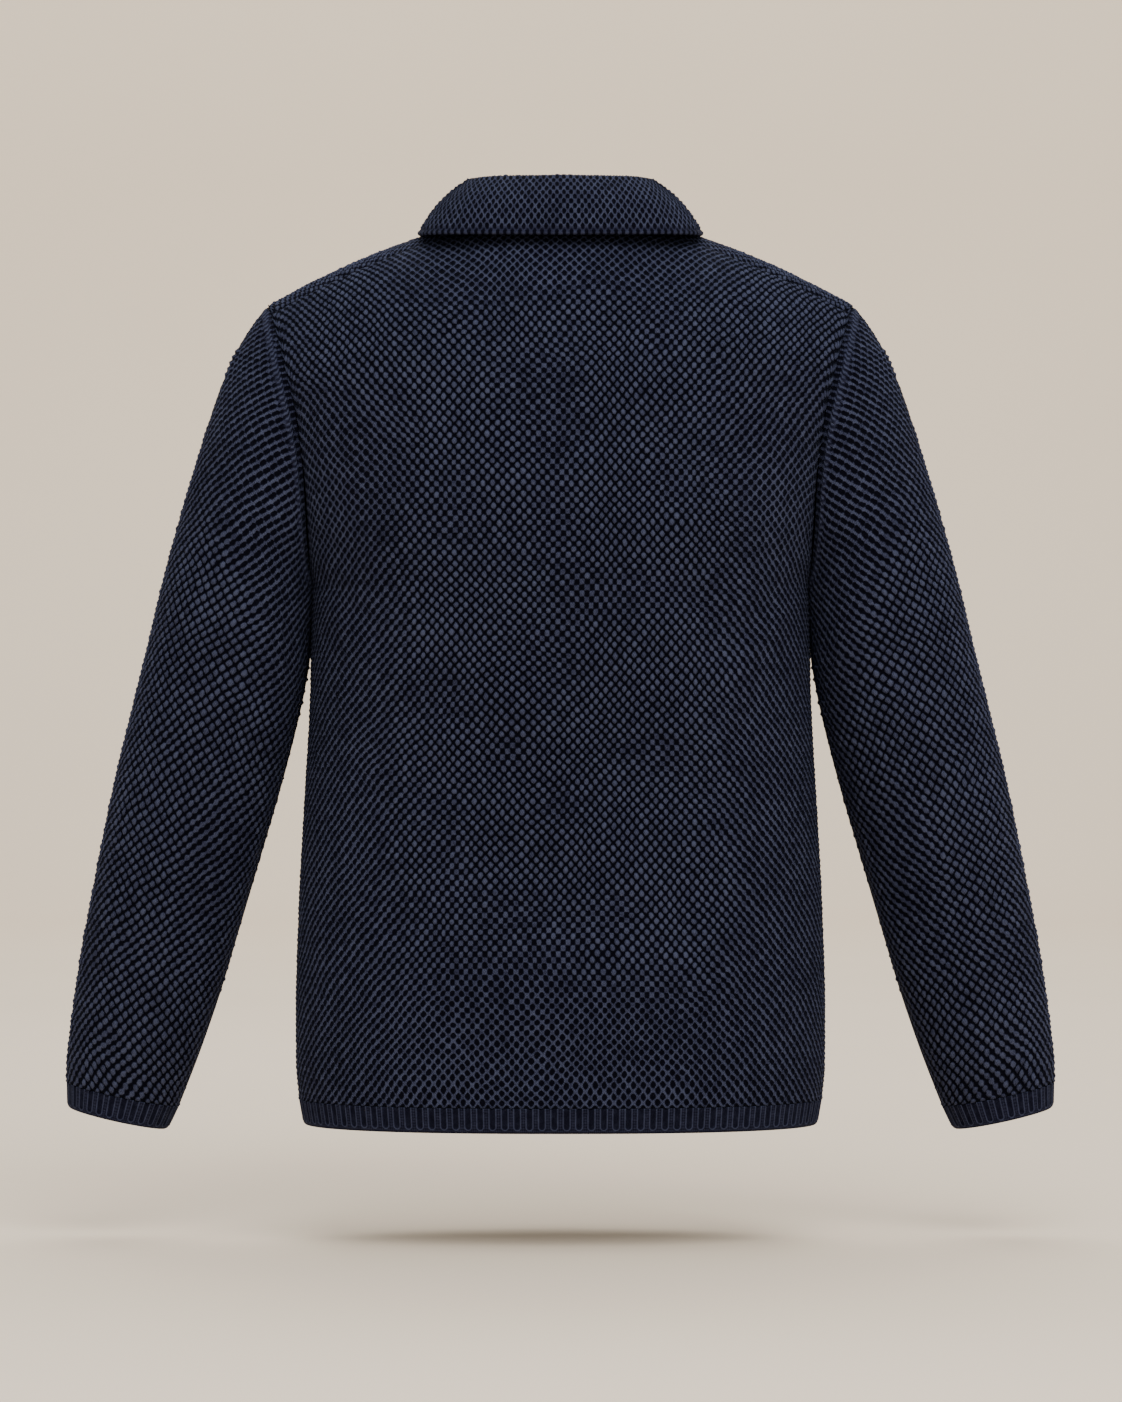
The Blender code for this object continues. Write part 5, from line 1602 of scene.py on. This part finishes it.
def cut_button():
    """The disc with its four holes, cut by four cylinders."""
    profile = np.array(BUTTON_PROFILE) * (BUTTON_RADIUS, BUTTON_THICKNESS)
    points, faces = lathe(rounded_line(profile, 0.0005, 4), 40)
    disc = set_mesh("disc", points, faces)
    cutter_profile = np.array([(0.0, 0.006), (HOLE_RADIUS, 0.006), (HOLE_RADIUS, -0.003), (0.0, -0.003)])
    pin, pin_faces = lathe(cutter_profile, 14)
    corners = ((-1, -1), (1, -1), (1, 1), (-1, 1))
    pins = [(pin + np.array([x, y, 0.0]) * HOLE_OFFSET, pin_faces) for x, y in corners]
    cutter = set_mesh("cutter", *join_parts(pins))
    cut = disc.modifiers.new("holes", "BOOLEAN")
    cut.object = cutter
    cut.operation = "DIFFERENCE"
    cut.solver = "EXACT"
    bpy.context.view_layer.update()
    result = bpy.data.meshes.new_from_object(disc.evaluated_get(bpy.context.evaluated_depsgraph_get()))
    for used in (disc, cutter):
        bpy.data.objects.remove(used, do_unlink=True)
    return result


button_mesh = cut_button()
print("button:", len(button_mesh.vertices), "points")

# %% Thread, and sewing the buttons on
THREAD_RADIUS = 0.00026
BUTTON_SEAT = 0.0006  # the buttons lie this far over the band
THREAD_APART = 0.00028  # half the distance between two threads side by side


def thread_parts():
    """Crossed stitches over the well: two threads each way, arched between opposite holes."""
    parts = []
    for sign in (-1.0, 1.0):
        for offset in (-THREAD_APART, THREAD_APART):
            t = np.linspace(-1.0, 1.0, 9)
            reach = HOLE_OFFSET * t
            height = 0.00245 + (0.00062 + 0.0003 * (sign > 0)) * (1 - t ** 4) - 0.0011 * np.abs(t) ** 12
            path = np.stack([reach - sign * offset, sign * reach + offset, height], axis=1)
            parts.append(tube(path, THREAD_RADIUS, 7))
    return parts


thread_points, thread_faces = join_parts(thread_parts())


def seat(points, height):
    """Points of a button moved to the band at a height: its axis along the band's normal."""
    turn = turn_at(0.0, height)
    at = body_point(1, 0.0, turn)
    normal = body_normal(1, 0.0, turn)
    up = unit(np.array([0.0, 0.0, 1.0]) - normal * normal[2])
    across = np.cross(up, normal)
    base = at + normal * (BAND_LIFT + BUTTON_SEAT)
    return base + points[:, :1] * across + points[:, 1:2] * up + points[:, 2:] * normal


buttons, threads = [], []
button_points = np.zeros(len(button_mesh.vertices) * 3)
button_mesh.vertices.foreach_get("co", button_points)
for number, height in enumerate(BUTTON_HEIGHTS, start=1):
    mesh = button_mesh.copy()
    mesh.name = f"button_disc_{number}"
    moved = seat(button_points.reshape(-1, 3), float(height))
    mesh.vertices.foreach_set("co", moved.astype(np.float32).ravel())
    mesh.shade_smooth()
    mesh.set_sharp_from_angle(angle=math.radians(40))
    mesh.update()
    piece = bpy.data.objects.new(f"button_disc_{number}", mesh)
    bpy.context.scene.collection.objects.link(piece)
    buttons.append(piece)
    stitch = set_mesh(f"button_thread_{number}", seat(thread_points, float(height)), thread_faces)
    threads.append(stitch)
print("button", triangle_count(buttons[0]), "triangles, thread", triangle_count(threads[0]))

# %% [markdown]
# ## Materials
#
# The yarn is navy with a dull, slightly hairy face: nearly all diffuse, a little sheen at grazing angles and
# no gloss. A few small functions add a node and give back its output, so a shader reads like a formula.

# %% Material helpers
def new_material(name):
    """A material with its shader and a function that adds nodes and joins their inputs."""
    material = bpy.data.materials.new(name)
    material.use_nodes = True
    tree = material.node_tree
    shader = tree.nodes["Principled BSDF"]

    def add(kind, inputs=(), output=0, **settings):
        node = tree.nodes.new(kind)
        for key, value in settings.items():
            setattr(node, key, value)
        for index, value in enumerate(inputs):
            if value is None:
                continue
            if hasattr(value, "is_linked"):
                tree.links.new(value, node.inputs[index])
            else:
                node.inputs[index].default_value = value
        return node.outputs[output]

    def calc(operation, *inputs, clamp=False):
        return add("ShaderNodeMath", inputs, operation=operation, use_clamp=clamp)

    def join(value, socket):
        tree.links.new(value, shader.inputs[socket])

    return material, shader, add, calc, join


def colour_ramp(add, value, stops):
    """Colours between stops (position, linear colour)."""
    output = add("ShaderNodeValToRGB", (value,))
    element = output.node.color_ramp.elements
    while len(element) < len(stops):
        element.new(0.5)
    for slot, (position, colour) in zip(element, stops):
        slot.position = position
        slot.color = (*colour, 1.0)
    return output


def dull_yarn(shader):
    """Surface of the yarn: rough, hardly any reflection, and a little bluish sheen."""
    shader.inputs["Roughness"].default_value = 0.85
    shader.inputs["Specular IOR Level"].default_value = 0.04
    shader.inputs["Sheen Weight"].default_value = 0.03
    shader.inputs["Sheen Roughness"].default_value = 0.5
    shader.inputs["Sheen Tint"].default_value = (0.45, 0.55, 0.90, 1.0)


def noises(add, coordinates, *kinds):
    """Noise textures on Object coordinates, each given as (scale, detail, roughness)."""
    return [add("ShaderNodeTexNoise", (coordinates, None, *kind)) for kind in kinds]


def numbers_of(add, *names):
    """The mesh's own numbers of these names."""
    return [add("ShaderNodeAttribute", attribute_name=name, output=2) for name in names]


def added(calc, start, *terms):
    """start plus each value times its weight."""
    for value, weight in terms:
        start = calc("MULTIPLY_ADD", value, weight, start)
    return start


print("materials so far:", len(bpy.data.materials))

# %% [markdown]
# ### The knit
#
# The lattice is read from the same u and v as the mesh, so the dark pits and grooves, which are painted shade,
# fall where the relief is low, and the raised tops are painted lighter as painted light. It is the formula of
# the stitch height once more, in nodes, with narrower borders. Finer detail comes from the twist of the yarn
# along the diagonals, which is bump and also painted highlights, and from small noise.

# %% Lattice nodes
def lattice(add, calc, coordinates, net, lean):
    """Nodes of both diagonals, p, q, their oval distance, and stitch_height's measure less its limit."""
    uv = add("ShaderNodeUVMap", uv_map="stitch")
    wander = add("ShaderNodeTexNoise", (coordinates, None, 190.0, 2.0, 0.5), output=1)
    shift = add("ShaderNodeVectorMath", (wander, (0.5, 0.5, 0.5)), operation="SUBTRACT")
    shift = add("ShaderNodeVectorMath", (shift, (0.22, 0.22, 0.0)), operation="MULTIPLY")
    moved = add("ShaderNodeVectorMath", (uv, shift), operation="ADD")
    u = add("ShaderNodeSeparateXYZ", (moved,))
    v = u.node.outputs[1]
    up_way, down_way = calc("ADD", u, v), calc("SUBTRACT", u, v)
    p, q = calc("WRAP", up_way, 0.5, -0.5), calc("WRAP", down_way, 0.5, -0.5)

    def oval_nodes(a, b):
        wide, tall = calc("ADD", a, b), calc("SUBTRACT", a, b)
        tall_share = calc("MULTIPLY", calc("MULTIPLY", tall, tall), OVAL_TALL)
        return calc("MULTIPLY_ADD", calc("MULTIPLY", wide, wide), OVAL_WIDE, tall_share)

    middle = oval_nodes(p, q)
    size_p, size_q = calc("ABSOLUTE", p), calc("ABSOLUTE", q)
    away_p = calc("MULTIPLY", calc("SIGN", p), calc("SUBTRACT", 0.5, size_p))
    away_q = calc("MULTIPLY", calc("SIGN", q), calc("SUBTRACT", 0.5, size_q))
    bobble = calc("MULTIPLY", calc("ADD", calc("SQRT", middle), calc("MAXIMUM", size_p, size_q)), 0.5)
    ridge = calc("SUBTRACT", 0.5, calc("SQRT", oval_nodes(away_p, away_q)))
    ridge = calc("MULTIPLY", calc("ADD", ridge, calc("MINIMUM", size_p, size_q)), 0.5)
    measure = calc("MULTIPLY_ADD", calc("SUBTRACT", ridge, bobble), net, bobble)
    tilt = calc("MULTIPLY", calc("MULTIPLY", lean, LEAN), calc("MULTIPLY_ADD", net, LEAN_NET, LEAN_SLACK))
    measure = calc("MULTIPLY_ADD", tilt, calc("SUBTRACT", size_q, size_p), measure)
    limit = calc("MULTIPLY_ADD", net, RIDGE_EDGE - BOBBLE_EDGE, BOBBLE_EDGE)
    return up_way, down_way, p, q, middle, calc("SUBTRACT", measure, limit)


def yarn_nodes(add, calc, up_way, down_way, p, q, chance, net):
    """Strands across a bobble, and plies along a ridge: cosines of the lattice's own distances."""
    wide, tall = calc("ADD", p, q), calc("SUBTRACT", p, q)
    strands = calc("COSINE", calc("MULTIPLY_ADD", wide, 15.0, calc("MULTIPLY", chance, 9.0)))
    strands = calc("MULTIPLY", strands, calc("COSINE", calc("MULTIPLY", tall, 9.0)))
    ridge_way = calc("LESS_THAN", calc("ABSOLUTE", p), calc("ABSOLUTE", q))
    along = add("ShaderNodeMix", (ridge_way, None, up_way, down_way), data_type="FLOAT")
    plies = calc("COSINE", calc("MULTIPLY", along, 25.1))
    return add("ShaderNodeMix", (net, None, strands, plies), data_type="FLOAT")


print("limits:", BOBBLE_EDGE, "for bobbles,", RIDGE_EDGE, "for ridges")

# %% Knit material
CHAIN_STEP = 0.0043  # from loop to loop along the armhole seam
CHAIN_MIDDLE = 0.0034  # from the armhole's edge to the middle of the chain
# Width of the painted shade along a seam.
SEAM_PAINTED_SHADE = 0.0014  # width of the dark line at a seam
# The low stops are the painted shade of grooves and pits, and the high stops the painted light on the raised
# tops.
KNIT_COLOURS_AND_SHADE = (  # tone of the cloth, linear colour
    (0.00, (0.0006, 0.0005, 0.0026)),
    (0.30, (0.0030, 0.0031, 0.0085)),
    (0.65, (0.0165, 0.0181, 0.0365)),
    (1.00, (0.0450, 0.0515, 0.0880)),
)


def knit_material():
    """Knitted navy cloth: the lattice from the UV map, net, lean and edge from the mesh's own numbers."""
    material, shader, add, calc, join = new_material("knit")
    coordinates = add("ShaderNodeTexCoord", output=3)
    net, lean, edge, outside = numbers_of(add, "net", "lean", "edge", "outside")
    chain, along = numbers_of(add, "chain", "along")
    up_way, down_way, p, q, middle, measure = lattice(add, calc, coordinates, net, lean)

    def falling(value, low, high):
        return add("ShaderNodeMapRange", (value, low, high, 1.0, 0.0), interpolation_type="SMOOTHSTEP")

    def from_half(value):
        return calc("SUBTRACT", value, 0.5)

    height = falling(measure, -0.080, 0.080)
    # crest: the crests of the net's ridges, painted lighter as a painted highlight. dome: the middle of each
    # bobble, painted lighter as painted light in the colour and also rounded in the bump.
    crest_highlight = calc("MULTIPLY", falling(measure, -0.15, -0.03), net)
    dome = calc("MULTIPLY_ADD", middle, -4.0, 1.0, clamp=True)
    dome = calc("MULTIPLY", dome, falling(net, 0.2, 0.6))
    nearest = add("ShaderNodeCombineXYZ", (calc("SUBTRACT", up_way, p), calc("SUBTRACT", down_way, q), 0.0))
    chance = add("ShaderNodeTexWhiteNoise", (nearest,), noise_dimensions="2D")
    yarn = yarn_nodes(add, calc, up_way, down_way, p, q, chance, net)
    fuzz, patchy, broad = noises(add, coordinates, (1300.0, 3.0, 0.6), (300.0, 2.0, 0.5), (16.0, 3.0, 0.5))
    # The tone is painted light and shade of the relief. Grooves and pits are painted dark as painted shade.
    # Bobble middles and ridge crests are painted lighter as painted light. The yarn's strands and plies add
    # painted highlights. The stitch chance and the three noises are the yarn's own random tone.
    tone_and_painted_shade = added(calc, calc("MULTIPLY_ADD", height, 0.74, -0.03), (dome, 0.16), (crest_highlight, 0.11), (yarn, 0.10),
                 (from_half(chance), 0.16), (from_half(fuzz), 0.55), (from_half(patchy), 0.45),
                 (from_half(broad), 0.25))
    # The chain's loops exist only in the colour: lighter loops with painted shade between them, as the light
    # and shade of loops that the mesh does not have.
    slant = calc("MULTIPLY", calc("ABSOLUTE", calc("SUBTRACT", edge, CHAIN_MIDDLE)), 900.0)
    loops = calc("COSINE", calc("MULTIPLY_ADD", along, 2 * math.pi / CHAIN_STEP, slant))
    loops = calc("MULTIPLY_ADD", calc("MULTIPLY_ADD", from_half(fuzz), 1.2, loops), 0.30, 0.62)
    tone_and_painted_shade = add("ShaderNodeMix", (chain, None, tone_and_painted_shade, loops), data_type="FLOAT")
    # Painted shade along each seam and sewn edge, where the cloth dips, and so also along the neck under the
    # collar.
    seam = calc("SUBTRACT", 1.0, calc("DIVIDE", edge, SEAM_PAINTED_SHADE, clamp=True))
    tone_and_painted_shade = calc("MULTIPLY_ADD", seam, -0.18, tone_and_painted_shade)
    # Where outside is below one, the tone is drawn towards a plain dark tone: on the inner side, which is
    # plain, and in the collar's groove beside its roll, where it is painted shade.
    shown = add("ShaderNodeMix", (outside, None, 0.35, tone_and_painted_shade), data_type="FLOAT")
    join(colour_ramp(add, shown, KNIT_COLOURS_AND_SHADE), "Base Color")
    relief = added(calc, height, (dome, 1.0), (yarn, 0.10), (fuzz, 0.22))
    join(add("ShaderNodeBump", (0.95, 0.0011, None, calc("MULTIPLY", relief, outside))), "Normal")
    dull_yarn(shader)
    return material


KNIT = knit_material()
print("knit:", len(KNIT.node_tree.nodes), "nodes")

# %% [markdown]
# ### The rib, the buttons and their thread
#
# The rib is the same yarn, so its colours are close to the knit's, with the loops painted lighter as painted
# light and the channels painted darker as painted shade.
# The buttons are resin with a soft gloss, and the thread is the cloth's navy.

# %% Rib material
# The low stops are painted shade in the channels, and the high stops painted light on the loops.
RIB_COLOURS_AND_SHADE = (
    (0.00, (0.0008, 0.0007, 0.0030)),
    (0.30, (0.0030, 0.0032, 0.0085)),
    (0.60, (0.0120, 0.0132, 0.0270)),
    (1.00, (0.0340, 0.0390, 0.0680)),
)


def rib_material():
    """The same yarn in fine ribs: e is the distance outside the U of rib_relief, in repeats."""
    material, shader, add, calc, join = new_material("rib")
    coordinates = add("ShaderNodeTexCoord", output=3)
    u = add("ShaderNodeSeparateXYZ", (add("ShaderNodeUVMap", uv_map="stitch"),))
    v = u.node.outputs[1]
    outside, = numbers_of(add, "outside")
    channel_half = CHANNEL_HALF / RIB_REPEAT
    across = calc("WRAP", u, 0.5, -0.5)
    below = calc("MINIMUM", calc("SUBTRACT", v, LOOP_END / RIB_REPEAT + channel_half), 0.0)
    radius = calc("SQRT", calc("MULTIPLY_ADD", across, across, calc("MULTIPLY", below, below)))
    e = calc("SUBTRACT", radius, channel_half)
    near_loop = calc("DIVIDE", calc("ABSOLUTE", calc("SUBTRACT", e, 0.01)), 0.075, clamp=True)
    loop = calc("SUBTRACT", 1.0, near_loop)
    sunk = calc("DIVIDE", calc("MULTIPLY", e, -1.0), 0.12, clamp=True)
    beside = calc("DIVIDE", calc("SUBTRACT", e, 0.05), 0.06, clamp=True)
    rows = calc("COSINE", calc("MULTIPLY", v, 2 * math.pi * 4.5))
    columns = calc("COSINE", calc("MULTIPLY", calc("ABSOLUTE", across), 2 * math.pi * 6.0))
    stitches = calc("MULTIPLY", calc("MULTIPLY_ADD", rows, 0.5, calc("MULTIPLY", columns, 0.5)), beside)
    fuzz, patchy = noises(add, coordinates, (1500.0, 3.0, 0.6), (210.0, 2.0, 0.5))
    # The rib's tone is painted light and shade of its relief. The sunken channel is painted darker as painted
    # shade, and the raised loop and the stitch tops lighter as painted light. The noises are the yarn's own
    # random tone.
    tone_and_painted_shade = added(calc, calc("MULTIPLY_ADD", stitches, 0.20, 0.49), (sunk, -0.16), (loop, 0.50),
                 (calc("SUBTRACT", fuzz, 0.5), 0.60), (calc("SUBTRACT", patchy, 0.5), 0.40))
    shown = add("ShaderNodeMix", (outside, None, 0.40, tone_and_painted_shade), data_type="FLOAT")
    join(colour_ramp(add, shown, RIB_COLOURS_AND_SHADE), "Base Color")
    relief = calc("MULTIPLY_ADD", stitches, 0.5, calc("MULTIPLY", fuzz, 0.5))
    relief = calc("MULTIPLY_ADD", loop, 1.0, calc("SUBTRACT", relief, sunk))
    join(add("ShaderNodeBump", (0.6, 0.0004, None, calc("MULTIPLY", relief, outside))), "Normal")
    dull_yarn(shader)
    return material


RIB = rib_material()
print("rib:", len(RIB.node_tree.nodes), "nodes")

# %% Button and thread materials
def button_material():
    """Dark navy resin with faint cloudy marks and a soft gloss."""
    material, _, add, calc, join = new_material("button")
    coordinates = add("ShaderNodeTexCoord", output=3)
    cloud, = noises(add, coordinates, (260.0, 3.0, 0.6))
    colours = ((0.30, (0.0060, 0.0070, 0.0140)), (0.70, (0.0180, 0.0210, 0.0360)))
    join(colour_ramp(add, cloud, colours), "Base Color")
    join(calc("MULTIPLY_ADD", cloud, 0.12, 0.24), "Roughness")
    return material


def thread_material():
    """Sewing thread: the cloth's navy, with its fine twist painted as stripes of painted light and shade."""
    material, shader, add, _, join = new_material("thread")
    coordinates = add("ShaderNodeTexCoord", output=3)
    twist = add("ShaderNodeTexWave", (coordinates, 2600.0, 1.0), output=1)
    colours = ((0.0, (0.0060, 0.0070, 0.0120)), (1.0, (0.0300, 0.0340, 0.0520)))
    join(colour_ramp(add, twist, colours), "Base Color")
    shader.inputs["Roughness"].default_value = 0.7
    return material


BUTTON, THREAD = button_material(), thread_material()
print("materials:", KNIT.name, RIB.name, BUTTON.name, THREAD.name)

# %% [markdown]
# ## Putting the pieces on the model
#
# Every knitted piece takes the place of its plain wall. The table also lists how large each cloth piece would
# be if
# it were laid out flat: the whole cut piece, as a pattern cutter would lay it out. The script does not use
# these sizes.

# %% Pieces
PIECES = (  # mesh, node, slot, flat size in metres and area in square metres
    (back, "back", "knit", (0.500, 0.680), 0.300),
    (front_left, "front_left", "knit", (0.250, 0.700), 0.160),
    (front_right, "front_right", "knit", (0.250, 0.700), 0.160),
    (sleeve_left, "sleeve_left", "knit", (0.450, 0.610), 0.205),
    (sleeve_right, "sleeve_right", "knit", (0.450, 0.610), 0.205),
    (knit_collar, "collar", "knit", (0.480, 0.090), None),
    (hem_back, "hem_back", "rib", (0.500, 0.019), None),
    (hem_front_left, "hem_front_left", "rib", (0.240, 0.019), None),
    (hem_front_right, "hem_front_right", "rib", (0.240, 0.019), None),
    (cuff_left, "cuff_left", "rib", (0.260, 0.019), None),
    (cuff_right, "cuff_right", "rib", (0.260, 0.019), None),
    (band_left, "band_left", "rib", (0.037, 0.620), None),
    (band_right, "band_right", "rib", (0.033, 0.620), None),
)
for piece, node, slot, flat, area in PIECES:
    piece.data.materials.append(KNIT if slot == "knit" else RIB)
    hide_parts(node)
    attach(piece, "root")
for number, (disc, stitch) in enumerate(zip(buttons, threads), start=1):
    disc.data.materials.append(BUTTON)
    stitch.data.materials.append(THREAD)
    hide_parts(f"button_{number}")
    for piece in (disc, stitch):
        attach(piece, "root")
total = sum(triangle_count(piece) for piece in [row[0] for row in PIECES] + buttons + threads)
print("triangles in all:", total)

# %% [markdown]
# ## Studio
#
# The background is a pale warm grey with no visible join between floor and wall. The garment floats a little
# above the floor, and its soft shadow lies right under it. So the room gives even white light, a large lamp
# in front and above models the knit, one from behind and above throws the shadow, and a weak one evens the
# wall.

# %% Backdrop
FLOOR_Z = -0.770
SWEEP_HALF_WIDTH = 7.0
SWEEP_NEAR_Y, SWEEP_BEND_Y = -6.0, 5.5
SWEEP_RADIUS = 1.5
SWEEP_TOP = 5.0
BACKDROP_COLOURS = ((0.3, (0.775, 0.659, 0.520)), (0.7, (0.791, 0.674, 0.533)))


def sweep():
    """Floor and wall in one sheet, with a quarter circle of (r sin a, r - r cos a) between them."""
    bend = np.linspace(0.1, math.pi / 2, 15)
    floor_y = np.linspace(SWEEP_NEAR_Y, SWEEP_BEND_Y, 9)
    wall_y = SWEEP_BEND_Y + SWEEP_RADIUS
    y = np.concatenate([floor_y, SWEEP_BEND_Y + SWEEP_RADIUS * np.sin(bend), [wall_y, wall_y]])
    rise = np.concatenate([0 * floor_y, SWEEP_RADIUS - SWEEP_RADIUS * np.cos(bend), [3.0, SWEEP_TOP]])
    x = np.array([-SWEEP_HALF_WIDTH, SWEEP_HALF_WIDTH])
    points = np.stack([np.broadcast_to(x, (len(y), 2)), np.repeat(y[:, None], 2, 1),
                       FLOOR_Z + np.repeat(rise[:, None], 2, 1)], axis=-1)
    sheet = set_mesh("backdrop", points.reshape(-1, 3), [grid_quads(len(y), 2)])
    material, shader, add, _, join = new_material("backdrop")
    mottle, = noises(add, add("ShaderNodeTexCoord", output=3), (1.5, 2.0, 0.5))
    join(colour_ramp(add, mottle, BACKDROP_COLOURS), "Base Color")
    shader.inputs["Roughness"].default_value = 1.0
    shader.inputs["Specular IOR Level"].default_value = 0.0
    sheet.data.materials.append(material)
    return sheet


backdrop = sweep()
print("floor at", FLOOR_Z, "m")

# %% Lamps and world
WHITE = (1.0, 1.0, 1.0)
WORLD_STRENGTH = 1.075
LAMPS = (  # name, place, target, size in metres and power in watts
    ("front", (0.7, -2.9, 2.3), (0.0, 0.0, -0.35), (3.0, 2.0), 125.0),
    ("rear", (0.0, 2.0, 2.6), (0.0, 0.0, -0.6), (3.0, 1.5), 60.0),
    ("wall", (0.0, 4.3, 2.8), (0.0, 7.1, 0.0), (5.0, 1.0), 75.0),
)


def area_light(name, place, target, size, power):
    """A white rectangle of light facing its target."""
    data = bpy.data.lights.new(name, "AREA")
    data.shape = "RECTANGLE"
    data.size, data.size_y = size
    data.energy = power
    data.color = WHITE
    lamp = bpy.data.objects.new(name, data)
    lamp.location = place
    lamp.rotation_euler = (Vector(target) - Vector(place)).to_track_quat("-Z", "Y").to_euler()
    bpy.context.scene.collection.objects.link(lamp)
    return lamp


lamps = [area_light(*row) for row in LAMPS]
world = bpy.data.worlds.new("studio")
bpy.context.scene.world = world
world.use_nodes = True
background = world.node_tree.nodes["Background"]
background.inputs["Color"].default_value = (*WHITE, 1.0)
background.inputs["Strength"].default_value = WORLD_STRENGTH
print("lamps:", [row[0] for row in LAMPS])
